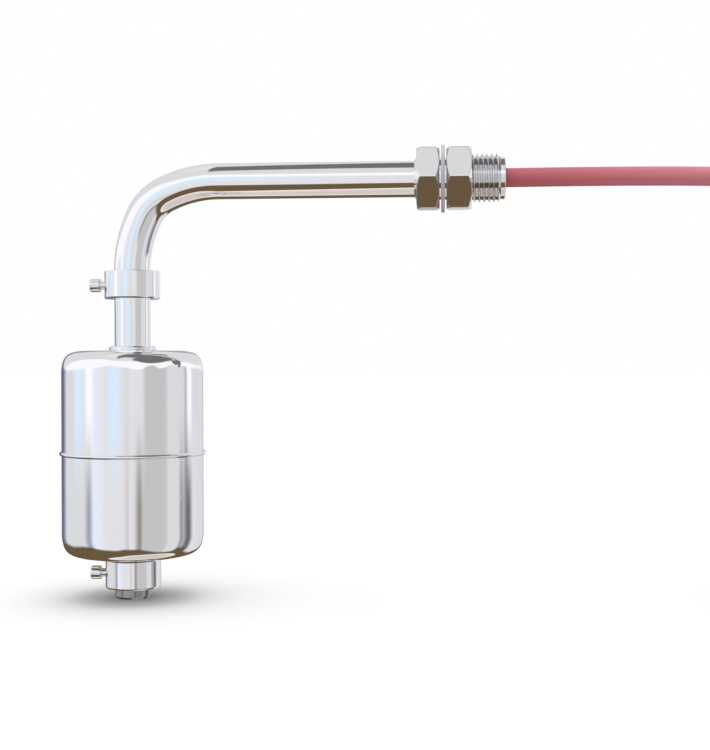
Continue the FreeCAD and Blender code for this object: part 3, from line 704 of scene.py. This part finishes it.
def ring_faces(rings, closed=True):
    """Faces between rings of vertex numbers. A ring of one vertex is a pole."""
    faces = []
    count = max(len(ring) for ring in rings)
    pairs = list(zip(rings, rings[1:]))
    if closed:
        pairs.append((rings[-1], rings[0]))
    for low, high in pairs:
        for index in range(count):
            after = (index + 1) % count
            corners = ((low, index), (low, after), (high, after), (high, index))
            faces.append(list(dict.fromkeys(ring[spot % len(ring)] for ring, spot in corners)))
    return faces


def turned_mesh(name, outline, axis, closed=True, segments=144, exact=True):
    """Spins an outline in millimetres about the axis given by a placing matrix."""
    points, normals = rounded(outline, closed)
    flat = axis.to_3x3()
    vertices = []
    vertex_normals = []
    rings = []
    for point, normal in zip(points, normals):
        copies = 1 if point.x < 1e-6 else segments
        rings.append(range(len(vertices), len(vertices) + copies))
        for index in range(copies):
            angle = FULL_TURN * index / segments
            ray = Vector((cos(angle), sin(angle), 0))
            vertices.append(axis @ ((ray * point.x + Vector((0, 0, point.y))) * MM))
            up = Vector((0, 0, normal.y))
            vertex_normals.append(flat @ (up if copies == 1 else ray * normal.x + up).normalized())
    faces = ring_faces(rings, closed)
    return smooth_mesh(name, vertices, faces, vertex_normals if exact else None)


def show(name, mesh, material, body, slot, *replaced):
    """Puts a mesh in the scene as a piece that rides on a body."""
    mesh.materials.clear()
    mesh.materials.append(material)
    piece = placed(name, mesh)
    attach(piece, body)
    if replaced:
        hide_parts(*replaced)
    print(f"{name}: {len(mesh.vertices)} vertices on {body}")
    return piece


# %% Places from the frame
def middle(name):
    low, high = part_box(name)
    return (low + high) / 2


STEM_X = middle("end_plug").x
FLOAT_Z = (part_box("float_upper_shell")[1].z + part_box("float_lower_shell")[0].z) / 2
TUBE_RADIUS = 9.5
TUBE_BORE = 8.0


def on_stem(height_m):
    """Axis of a piece on the stem, its zero at the given height."""
    return Matrix.Translation((STEM_X, 0, height_m))


def along_arm(x_m):
    """Axis along +X, its zero at the given place."""
    return Matrix.Translation((x_m, 0, 0)) @ Matrix.Rotation(pi / 2, 4, "Y")


print("stem axis at", round(STEM_X / MM, 2), "mm, float middle at", round(FLOAT_Z / MM, 2), "mm")

# %% [markdown]
# ## Bent tube
# The tube was bent over a former, and springs back to an easier curve at both ends of the bend.
# Three arcs that share their tangents give that line. The wall is swept along it as rings, with
# normals straight out from the line.

# %% Line of the bend
EASE_RADIUS = 66.0
BEND_RADIUS = 24.5
EASE_ANGLE = 26.0
SOCKET_X = -3.0
ARCS = [(EASE_RADIUS, EASE_ANGLE), (BEND_RADIUS, 90.0 - 2 * EASE_ANGLE), (EASE_RADIUS, EASE_ANGLE)]


def bend_line(step_degrees=1.5):
    """Points and headings from the arm's end in the fitting back to the stem's lower end."""
    place = Vector((0.0, 0.0))
    heading = 180.0
    line = [(place.copy(), heading)]
    for radius, angle in ARCS:
        steps = round(angle / step_degrees)
        for _ in range(steps):
            chord = 2 * radius * sin(radians(angle / steps / 2))
            middle_heading = radians(heading + angle / steps / 2)
            place = place + Vector((cos(middle_heading), sin(middle_heading))) * chord
            heading += angle / steps
            line.append((place.copy(), heading))
    shift = STEM_X / MM - place.x
    stem_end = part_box("stem_tube")[0].z / MM
    moved = [(point + Vector((shift, 0.0)), angle) for point, angle in line]
    return [(Vector((SOCKET_X, 0.0)), 180.0), *moved, (Vector((STEM_X / MM, stem_end)), 270.0)]


# %% Sweep the wall
def swept_tube(name, line, outer, bore, segments=96):
    """A tube wall along a line in the XZ plane: down the line in the bore, back on the outside."""
    vertices = []
    normals = []
    rings = []
    for run, radius, side in ((line, bore, -1), (line[::-1], outer, 1)):
        for point, heading in run:
            across = Vector((-sin(radians(heading)), 0, cos(radians(heading))))
            rings.append(range(len(vertices), len(vertices) + segments))
            for index in range(segments):
                angle = FULL_TURN * index / segments
                ray = across * cos(angle) + Vector((0, 1, 0)) * sin(angle)
                vertices.append((Vector((point.x, 0, point.y)) + ray * radius) * MM)
                normals.append(ray * side)
    return smooth_mesh(name, vertices, ring_faces(rings), normals)


tube_mesh = swept_tube("bent_tube", bend_line(), TUBE_RADIUS, TUBE_BORE)
show("bent_tube", tube_mesh, tube_steel, "stem", "polished_steel", "stem_tube")

# %% [markdown]
# ## End plug
# A small cap closes the tube. It was turned with its spigot, pressed in and sealed with heat, so
# its rim shows as a fine line and a soft chamfer below the lower collar.

# %% End plug
PLUG_CAP = 2.0
PLUG_TOP = 7.0
plug_outline = [
    (0, 0, 0), (TUBE_RADIUS - 0.5, 0, 0.3), (TUBE_RADIUS, 1.0, 0.3), (TUBE_RADIUS, PLUG_CAP, 0.15),
    (TUBE_BORE, PLUG_CAP, 0.05), (TUBE_BORE, PLUG_TOP, 0.2), (0, PLUG_TOP, 0),
]
plug_mesh = turned_mesh("tube_plug", plug_outline, on_stem(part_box("end_plug")[0].z), closed=False)
# The plug's darker steel is painted shade
show("tube_plug", plug_mesh, painted_shade_steel, "stem", "polished_steel", "end_plug")

# %% [markdown]
# ## Float
# The float is two drawn half shells on a guide tube. Drawing leaves shoulders of no single
# radius, so three arcs round each of them: an easy one, a tight one and an easy one again. The
# shells are polished all over and bare.

# %% Float shells
FLOAT_RADIUS = 37.5
FLOAT_HALF = 54.5
SHELL_WALL = 0.8
INNER_SHOULDER = 8.6
EASY_ARC = 21.9
TIGHT_ARC = 6.95
EASY_CORNER = 8.753
TIGHT_CORNER = 2.05
GUIDE_RADIUS = 11.1
GUIDE_BORE = 10.3
shell_outline = [
    (FLOAT_RADIUS - SHELL_WALL, 0, 0.1), (FLOAT_RADIUS, 0, 0.1),
    (FLOAT_RADIUS, FLOAT_HALF - EASY_CORNER, EASY_ARC),
    (FLOAT_RADIUS - TIGHT_CORNER, FLOAT_HALF - TIGHT_CORNER, TIGHT_ARC),
    (FLOAT_RADIUS - EASY_CORNER, FLOAT_HALF, EASY_ARC),
    (GUIDE_RADIUS, FLOAT_HALF, 0.1), (GUIDE_RADIUS, FLOAT_HALF - SHELL_WALL, 0.1),
    (FLOAT_RADIUS - SHELL_WALL, FLOAT_HALF - SHELL_WALL, INNER_SHOULDER),
]
upside_down = Matrix.Rotation(pi, 4, "X")
for half, way in (("upper", Matrix.Identity(4)), ("lower", upside_down)):
    mesh = turned_mesh(f"{half}_shell", shell_outline, on_stem(FLOAT_Z) @ way, segments=192)
    show(f"{half}_shell", mesh, float_steel, "float", "polished_steel", f"float_{half}_shell")

# %% [markdown]
# ## Guide tube
# The tube through the float is turned out over the shells at both ends, as a low rim round the
# stem. It is one closed outline: up the outside, over the rim and down the bore.

# %% Guide tube and neck rims
RIM_RADIUS = 12.35
RIM_TOP = 56.93
rim_side = [
    (11.5, 54.5, 0.1), (RIM_RADIUS, 55.0, 0.5), (RIM_RADIUS, 56.4, 0.8), (11.3, RIM_TOP, 0.6),
    (GUIDE_BORE, RIM_TOP, 0.2),
]
guide_outline = [(r, -z, f) for r, z, f in reversed(rim_side)]
guide_outline += [(GUIDE_RADIUS, -FLOAT_HALF, 0.1), (GUIDE_RADIUS, FLOAT_HALF, 0.1), *rim_side]
guide_mesh = turned_mesh("guide_tube", guide_outline, on_stem(FLOAT_Z))
show("guide_tube", guide_mesh, collar_steel, "float", "polished_steel", "float_guide_tube")

# %% [markdown]
# ## Weld bead
# The two shells meet in a bead that was welded by turning the float under the torch, so it has a
# fine ripple for each pulse. A geometry tree draws a circle, lets its thickness swell and shrink
# along the way, and skins it.

# %% Helpers for geometry trees
def geometry_tree(name, inputs):
    """A geometry tree with named inputs, each (label, socket kind, value)."""
    tree = bpy.data.node_groups.new(name, "GeometryNodeTree")
    tree.interface.new_socket(name="Geometry", in_out="OUTPUT", socket_type="NodeSocketGeometry")
    for label, kind, value in inputs:
        kind = "NodeSocket" + kind
        socket = tree.interface.new_socket(name=label, in_out="INPUT", socket_type=kind)
        if value is not None:
            socket.default_value = value
    return tree, tree.nodes.new("NodeGroupInput").outputs


def end_tree(tree, geometry, material):
    """Smooth faces, real geometry and a material, as the last steps of a tree."""
    smooth = node(tree, "GeometryNodeSetShadeSmooth", Geometry=geometry)
    real = node(tree, "GeometryNodeRealizeInstances", Geometry=smooth)
    named = node(tree, "GeometryNodeSetMaterial", Geometry=real, Material=material)
    node(tree, "NodeGroupOutput", Geometry=named)


def grown_mesh(name, tree, **values):
    """Runs a geometry tree with the given inputs and returns its result as a plain mesh."""
    carrier = placed(name, bpy.data.meshes.new(name))
    modifier = carrier.modifiers.new(name, "NODES")
    modifier.node_group = tree
    sockets = [item for item in tree.interface.items_tree if item.in_out == "INPUT"]
    labels = {socket.name: socket.identifier for socket in sockets}
    for label, value in values.items():
        modifier[labels[label.replace("_", " ")]] = value
    evaluated = carrier.evaluated_get(bpy.context.evaluated_depsgraph_get())
    mesh = bpy.data.meshes.new_from_object(evaluated)
    bpy.data.objects.remove(carrier)
    mesh.name = name
    return mesh


# %% Bead tree
bead_tree, given = geometry_tree("Rippled weld bead", [
    ("Ring Radius", "Float", 0.038), ("Bead Radius", "Float", 0.0009), ("Ripples", "Float", 180.0),
    ("Ripple Depth", "Float", 0.1), ("Steps", "Int", 1440), ("Place", "Vector", None),
    ("Material", "Material", None),
])
ring = node(
    bead_tree, "GeometryNodeCurvePrimitiveCircle", Resolution=given["Steps"],
    Radius=given["Ring Radius"],
)
ripple = partial(maths, bead_tree)
share = ripple("DIVIDE", node(bead_tree, "GeometryNodeInputIndex"), given["Steps"])
wave = ripple("SINE", ripple("MULTIPLY", share, ripple("MULTIPLY", given["Ripples"], pi)))
swell = ripple("MULTIPLY", ripple("ABSOLUTE", wave), given["Ripple Depth"])
swell = ripple("ADD", swell, 1.0)
rippled = node(bead_tree, "GeometryNodeSetCurveRadius", Curve=ring, Radius=swell)
section = node(
    bead_tree, "GeometryNodeCurvePrimitiveCircle", Resolution=14, Radius=given["Bead Radius"]
)
skin = node(
    bead_tree, "GeometryNodeCurveToMesh", Curve=rippled,
    Profile_Curve=section,
)
moved = node(
    bead_tree, "GeometryNodeTransform", Geometry=skin, Translation=given["Place"]
)
end_tree(bead_tree, moved, given["Material"])

# %% Weld bead
BEAD_RADIUS = 1.1
BEAD_RING = FLOAT_RADIUS + 0.1
bead_mesh = grown_mesh(
    "weld_bead", bead_tree, Ring_Radius=BEAD_RING * MM, Bead_Radius=BEAD_RADIUS * MM,
    Place=(STEM_X, 0.0, FLOAT_Z), Material=weld_steel,
)
show("weld_bead", bead_mesh, weld_steel, "float", "polished_steel")

# %% [markdown]
# ## Weld rings of the guide tube
# The same tree draws the small ring that joins each shell to the guide tube. Its ripples are
# fewer and deeper, because each pulse of the torch takes up more of so short a way.

# %% Weld rings of the guide tube
NECK_BEAD_RADIUS = 0.45
NECK_BEAD_RING = 11.7
NECK_BEAD_HEIGHT = FLOAT_HALF + 0.15
for name, way in (("upper_neck_weld", 1), ("lower_neck_weld", -1)):
    neck_mesh = grown_mesh(
        name, bead_tree, Ring_Radius=NECK_BEAD_RING * MM, Bead_Radius=NECK_BEAD_RADIUS * MM,
        Ripples=64.0, Ripple_Depth=0.25, Steps=512,
        Place=(STEM_X, 0.0, FLOAT_Z + way * NECK_BEAD_HEIGHT * MM), Material=weld_steel,
    )
    show(name, neck_mesh, weld_steel, "float", "polished_steel")

# %% [markdown]
# ## Collars and clamp screws
# Each collar is a turned ring with a small taper at its foot, spot-faced and tapped on one side
# for its screw. The flat and the hole are cut by booleans, as the cutter did. The screw has a
# rounded head with a hexagon socket.

# %% Cutting helpers
CUT_EDGE_ANGLE = radians(32)


def hexagon_rod(name, flats, length, axis):
    """A plain hexagon rod along the axis, for cutting a socket."""
    reach = flats / 2 / cos(pi / 6)
    ring = [(reach * cos(pi / 3 * k), reach * sin(pi / 3 * k)) for k in range(6)]
    vertices = [axis @ (Vector((x, y, z)) * MM) for z in (0, length) for x, y in ring]
    sides = [[k, (k + 1) % 6, (k + 1) % 6 + 6, k + 6] for k in range(6)]
    return smooth_mesh(name, vertices, [[5, 4, 3, 2, 1, 0], [6, 7, 8, 9, 10, 11], *sides])


def rod(name, radius, start, end, axis):
    """A plain round rod along the axis, for drilling and facing."""
    outline = [(0, start, 0), (radius, start, 0.02), (radius, end, 0.02), (0, end, 0)]
    return turned_mesh(name, outline, axis, closed=False, segments=64, exact=False)


def cut_mesh(name, mesh, *tools):
    """The mesh with each tool taken away, its sharp edges kept sharp."""
    work = placed(name, mesh)
    cutters = [placed(name + "_cutter", tool) for tool in tools]
    for cutter in cutters:
        step = work.modifiers.new("cut", "BOOLEAN")
        step.operation = "DIFFERENCE"
        step.solver = "EXACT"
        step.object = cutter
    evaluated = work.evaluated_get(bpy.context.evaluated_depsgraph_get())
    result_mesh = bpy.data.meshes.new_from_object(evaluated)
    for item in [work, *cutters]:
        bpy.data.objects.remove(item)
    result_mesh.polygons.foreach_set("use_smooth", [True] * len(result_mesh.polygons))
    result_mesh.set_sharp_from_angle(angle=CUT_EDGE_ANGLE)
    result_mesh.name = name
    return result_mesh


def even_shading(piece):
    """Lets the large faces decide the shading beside small fillets."""
    step = piece.modifiers.new("even shading", "WEIGHTED_NORMAL")
    step.keep_sharp = True
    step.weight = 100


# %% Stop collars
COLLAR_RADIUS = 14.7
COLLAR_BORE = 9.55
COLLAR_HEIGHT = 14.8
COLLAR_EDGE = 0.4
TAPER_IN = 0.35
TAPER_HEIGHT = 0.85
SPOT_FACE_RADIUS = 3.8
SPOT_FACE_DEPTH = 14.1
TAPPING_RADIUS = 2.25
TAPPING_START = 2
CUTTER_END = 16
towards_screw = Matrix.Rotation(-pi / 2, 4, "Y")
collar_outline = [
    (COLLAR_BORE, 0, COLLAR_EDGE / 2), (COLLAR_RADIUS - TAPER_IN, 0, TAPER_IN / 2),
    (COLLAR_RADIUS, TAPER_HEIGHT, TAPER_IN),
    (COLLAR_RADIUS, COLLAR_HEIGHT, COLLAR_EDGE), (COLLAR_BORE, COLLAR_HEIGHT, COLLAR_EDGE / 2),
]
for level in ("upper", "lower"):
    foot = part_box(f"{level}_stop_collar")[0].z
    screw_axis = on_stem(foot + COLLAR_HEIGHT / 2 * MM) @ towards_screw
    blank = turned_mesh(f"{level}_collar", collar_outline, on_stem(foot), exact=False)
    mesh = cut_mesh(
        f"{level}_collar", blank,
        rod("spot_face", SPOT_FACE_RADIUS, SPOT_FACE_DEPTH, CUTTER_END, screw_axis),
        rod("tapping", TAPPING_RADIUS, TAPPING_START, CUTTER_END, screw_axis),
    )
    names = (f"{level}_collar", "polished_steel", f"{level}_stop_collar")
    even_shading(show(f"{level}_collar", mesh, collar_steel, *names))

# %% Clamp screws
SCREW_TIP = TUBE_RADIUS + 0.05
SHANK_RADIUS = 2.2
HEAD_RADIUS = 3.6
HEAD_START = 17.2
HEAD_END = 22.6
SOCKET_FLATS = 3.0
SOCKET_DEPTH = 2.5
screw_outline = [
    (0, SCREW_TIP, 0), (SHANK_RADIUS, SCREW_TIP, 0.3), (SHANK_RADIUS, HEAD_START, 0.15),
    (HEAD_RADIUS, HEAD_START, 0.45), (HEAD_RADIUS, HEAD_END, 0.7), (0, HEAD_END, 0),
]
for level in ("upper", "lower"):
    name = f"{level}_screw"
    screw_axis = on_stem(middle(f"{level}_clamp_screw").z) @ towards_screw
    blank = turned_mesh(name, screw_outline, screw_axis, closed=False, segments=64, exact=False)
    socket_axis = screw_axis @ Matrix.Translation((0, 0, (HEAD_END - SOCKET_DEPTH) * MM))
    socket = hexagon_rod("socket", SOCKET_FLATS, SOCKET_DEPTH + 1, socket_axis)
    mesh = cut_mesh(name, blank, socket)
    even_shading(show(name, mesh, screw_steel, name, "screw_steel", f"{level}_clamp_screw"))

# %% [markdown]
# ## Hexagons
# A hexagon bar is chamfered in the lathe, which leaves a curved edge on each flat. Going round
# the bar, the hexagon's radius says how far in the cone reaches, so four rows of points give the
# exact shape. A narrow bevel then catches the light along the edges.

# %% Chamfered hexagon
HEX_FLATS = 31.75
HEX_TURN = radians(27.0)
CHAMFER_SLOPE = tan(radians(35))
CORNER_BREAK = 0.12
FLAT_MARGIN = 0.25
SAMPLES_PER_FLAT = 13
HEXAGON_EDGE_ANGLE = radians(12)
BEVEL_ANGLE = radians(14)
BEVEL_WIDTH = 0.14 * MM


def chamfered_hexagon(name, bore, start, thickness, countersink=0.0):
    """A hexagon along +X with chamfered faces and a round bore, sizes in millimetres."""
    flat = HEX_FLATS / 2
    face = flat - FLAT_MARGIN
    widest = flat / cos(pi / 6) - CORNER_BREAK
    half_flat = acos(flat / widest)
    rows = [[] for _ in range(8 if countersink else 6)]
    end = start + thickness
    for side in range(6):
        for sample in range(SAMPLES_PER_FLAT):
            local = (2 * sample / (SAMPLES_PER_FLAT - 1) - 1) * half_flat
            angle = HEX_TURN + side * pi / 3 + local
            reach = flat / cos(local)
            chamfer = (reach - face) * CHAMFER_SLOPE
            section = [(bore, start + countersink), (face, start), (reach, start + chamfer)]
            if countersink:
                section.insert(1, (bore + countersink, start))
            mirrored = [(radius, start + end - x) for radius, x in reversed(section)]
            for row, (radius, x) in zip(rows, section + mirrored):
                row.append(Vector((x, -radius * cos(angle), radius * sin(angle))) * MM)
    vertices = [vertex for row in reversed(rows) for vertex in row]
    count = len(rows[0])
    rings = [range(first, first + count) for first in range(0, len(vertices), count)]
    mesh = smooth_mesh(name, vertices, ring_faces(rings))
    mesh.set_sharp_from_angle(angle=HEXAGON_EDGE_ANGLE)
    return mesh


def edge_bevel(piece):
    """A narrow bevel on every edge sharper than the angle, with level shading."""
    step = piece.modifiers.new("edge bevel", "BEVEL")
    step.width = BEVEL_WIDTH
    step.segments = 3
    step.limit_method = "ANGLE"
    step.angle_limit = BEVEL_ANGLE
    even_shading(piece)


# %% Fixed hexagon and nut
HEX_THICKNESS = 12.0
NIPPLE_BORE = 8.0
hexagon_mesh = chamfered_hexagon("fixed_hexagon", NIPPLE_BORE, -HEX_THICKNESS, HEX_THICKNESS)
edge_bevel(show("fixed_hexagon", hexagon_mesh, bar_steel, "stem", "machined_steel", "tank_fitting"))

NUT_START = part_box("lock_nut")[0].x / MM
NUT_THICKNESS = 13.2
NUT_BORE = 12.75
nut_mesh = chamfered_hexagon("hexagon_nut", NUT_BORE, NUT_START, NUT_THICKNESS, countersink=1.0)
edge_bevel(show("hexagon_nut", nut_mesh, bar_steel, "lock_nut", "machined_steel", "lock_nut"))

# %% [markdown]
# ## Threaded nipple
# The nipple is a plain barrel with a screw thread on it. The thread is a rule: the radius
# depends only on how far a point lies along the pitch, less the share of the turn. A geometry
# tree wraps a grid round the barrel by that rule, and its last row closes the skin underneath.

# %% Nipple barrel
NIPPLE_LENGTH = 34.2
BARREL_RADIUS = 10.95
barrel_outline = [
    (NIPPLE_BORE, -1.0, 0.1), (BARREL_RADIUS, -1.0, 0.1), (BARREL_RADIUS, NIPPLE_LENGTH, 0.5),
    (NIPPLE_BORE, NIPPLE_LENGTH, 0.3),
]
barrel_mesh = turned_mesh("nipple_barrel", barrel_outline, along_arm(0.0))
show("nipple_barrel", barrel_mesh, bar_steel, "stem", "machined_steel")

# %% Thread tree
thread_tree, given = geometry_tree("Screw thread", [
    ("Pitch", "Float", 0.00254), ("Crest Radius", "Float", 0.0127), ("Depth", "Float", 0.0015),
    ("Root Radius", "Float", 0.0107), ("Start", "Float", 0.0), ("End", "Float", 0.03),
    ("Rows", "Int", 240), ("Around", "Int", 97), ("Material", "Material", None),
])
# The ridge runs from 0 at a crest to 0.5 at a root. Crests are narrow and roots are wide.
CREST_SHARE = 0.04
ROOT_SHARE = 0.20
RUN_OUT_SLOPE = 1.7
WELD_DISTANCE = 0.002 * MM

grid = node(
    thread_tree, "GeometryNodeMeshGrid", Size_X=1.0, Size_Y=1.0, Vertices_X=given["Rows"],
    Vertices_Y=given["Around"],
)
rule = partial(maths, thread_tree)
spot = axes_of(thread_tree, node(thread_tree, "GeometryNodeInputPosition"))
last_row = rule("SUBTRACT", given["Rows"], 1.0)
row = rule("ROUND", rule("MULTIPLY", rule("ADD", spot["X"], 0.5), last_row))
is_skin = rule("LESS_THAN", row, rule("SUBTRACT", last_row, 0.5))
share = rule("MULTIPLY", rule("DIVIDE", row, rule("SUBTRACT", last_row, 1.0)), is_skin)
along = rule("MULTIPLY_ADD", share, rule("SUBTRACT", given["End"], given["Start"]), given["Start"])
turn_share = rule("ADD", spot["Y"], 0.5)
phase = rule("SUBTRACT", rule("DIVIDE", along, given["Pitch"]), turn_share)
ridge = rule("ABSOLUTE", rule("SUBTRACT", rule("FRACT", phase), 0.5))
drop = rule("DIVIDE", rule("SUBTRACT", ridge, CREST_SHARE), 0.5 - CREST_SHARE - ROOT_SHARE)
drop = rule("MINIMUM", rule("MAXIMUM", drop, 0.0), 1.0)
radius = rule("MULTIPLY_ADD", drop, rule("MULTIPLY", given["Depth"], -1.0), given["Crest Radius"])
from_start = rule("SUBTRACT", along, given["Start"])
to_end = rule("SUBTRACT", given["End"], along)
for distance in (from_start, to_end):
    cone = rule("MULTIPLY_ADD", distance, RUN_OUT_SLOPE, given["Root Radius"])
    radius = rule("MINIMUM", radius, cone)
angle = rule("MULTIPLY", turn_share, FULL_TURN)
wrapped = node(
    thread_tree, "ShaderNodeCombineXYZ", X=along, Y=rule("MULTIPLY", radius, rule("COSINE", angle)),
    Z=rule("MULTIPLY", radius, rule("SINE", angle)),
)
bent = node(thread_tree, "GeometryNodeSetPosition", Geometry=grid, Position=wrapped)
joined = node(thread_tree, "GeometryNodeMergeByDistance", Geometry=bent, Distance=WELD_DISTANCE)
end_tree(thread_tree, joined, given["Material"])

# %% Thread
PITCH = 2.54
THREAD_START = 4.0
THREAD_END = 31.9
THREAD_DEPTH = 1.35
CREST_RADIUS = 12.7
thread_mesh = grown_mesh(
    "nipple_thread", thread_tree, Pitch=PITCH * MM, Start=THREAD_START * MM, End=THREAD_END * MM,
    Depth=THREAD_DEPTH * MM, Crest_Radius=CREST_RADIUS * MM, Material=thread_steel,
)
work = bmesh.new()
work.from_mesh(thread_mesh)
bmesh.ops.recalc_face_normals(work, faces=work.faces)
work.to_mesh(thread_mesh)
work.free()
thread_mesh.set_sharp_from_angle(angle=radians(38))
show("nipple_thread", thread_mesh, thread_steel, "stem", "machined_steel")

# %% [markdown]
# ## Weld of the arm
# A small fillet weld closes the gap where the arm enters the fixed hexagon. Polished over, it is
# only a narrow ring, so it is turned like the other rings.

# %% Weld of the arm
FILLET_LEG = 1.3
FILLET_INNER = TUBE_RADIUS - 0.2
FILLET_BACK = -HEX_THICKNESS + 0.3
fillet_outline = [
    (FILLET_INNER, -HEX_THICKNESS - FILLET_LEG, 0.1),
    (TUBE_RADIUS + FILLET_LEG + 0.4, -HEX_THICKNESS, 0.3),
    (TUBE_RADIUS + FILLET_LEG, FILLET_BACK, 0.1), (FILLET_INNER, FILLET_BACK, 0.1),
]
fillet_mesh = turned_mesh("arm_weld", fillet_outline, along_arm(0.0))
show("arm_weld", fillet_mesh, weld_steel, "stem", "polished_steel")

# %% [markdown]
# ## Gasket
# The soft ring was punched from sheet and squeezed a little, so its rim is round. It stands out
# past the hexagons, in a pale lilac grey.

# %% Gasket
gasket_low, gasket_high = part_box("wall_gasket")
GASKET_BORE = 11.2
GASKET_THICKNESS = (gasket_high.x - gasket_low.x) / MM
GASKET_RADIUS = gasket_high.z / MM
gasket_outline = [
    (GASKET_BORE, 0, 0.4), (GASKET_RADIUS, 0, 0.7), (GASKET_RADIUS, GASKET_THICKNESS, 0.7),
    (GASKET_BORE, GASKET_THICKNESS, 0.4),
]
gasket_mesh = turned_mesh("soft_gasket", gasket_outline, along_arm(gasket_low.x))
show("soft_gasket", gasket_mesh, gasket_rubber, "stem", "gasket_rubber", "wall_gasket")

# %% [markdown]
# ## Pieces that stay as the CAD made them
# The reed contact, its strip and wires, the magnet and the resin are the right shape already.
# Each gets its own finish, so a part that is opened or cut still looks like what it is.

# %% Finishes of the CAD pieces
CAD_FINISHES = [
    (ferrite, "ring_magnet"),
    (collar_steel, "magnet_clip_upper", "magnet_clip_lower"),
    (reed_glass, "reed_capsule"),
    (contact_metal, "reed_blade_upper", "reed_blade_lower"),
    (laminate, "reed_board"),
    (solder, "solder_joints"),
    (white_jacket, "lead_wire_1", "cable_core_1"),
    (black_jacket, "lead_wire_2", "cable_core_2"),
    (copper, "core_tip_1", "core_tip_2"),
    (resin, "cable_potting"),
    (tie_plastic, "coil_tie"),
]
for material, *names in CAD_FINISHES:
    for name in names:
        for material_slot in nodes[name].material_slots:
            material_slot.material = material
    print(material.name, "on", *names)
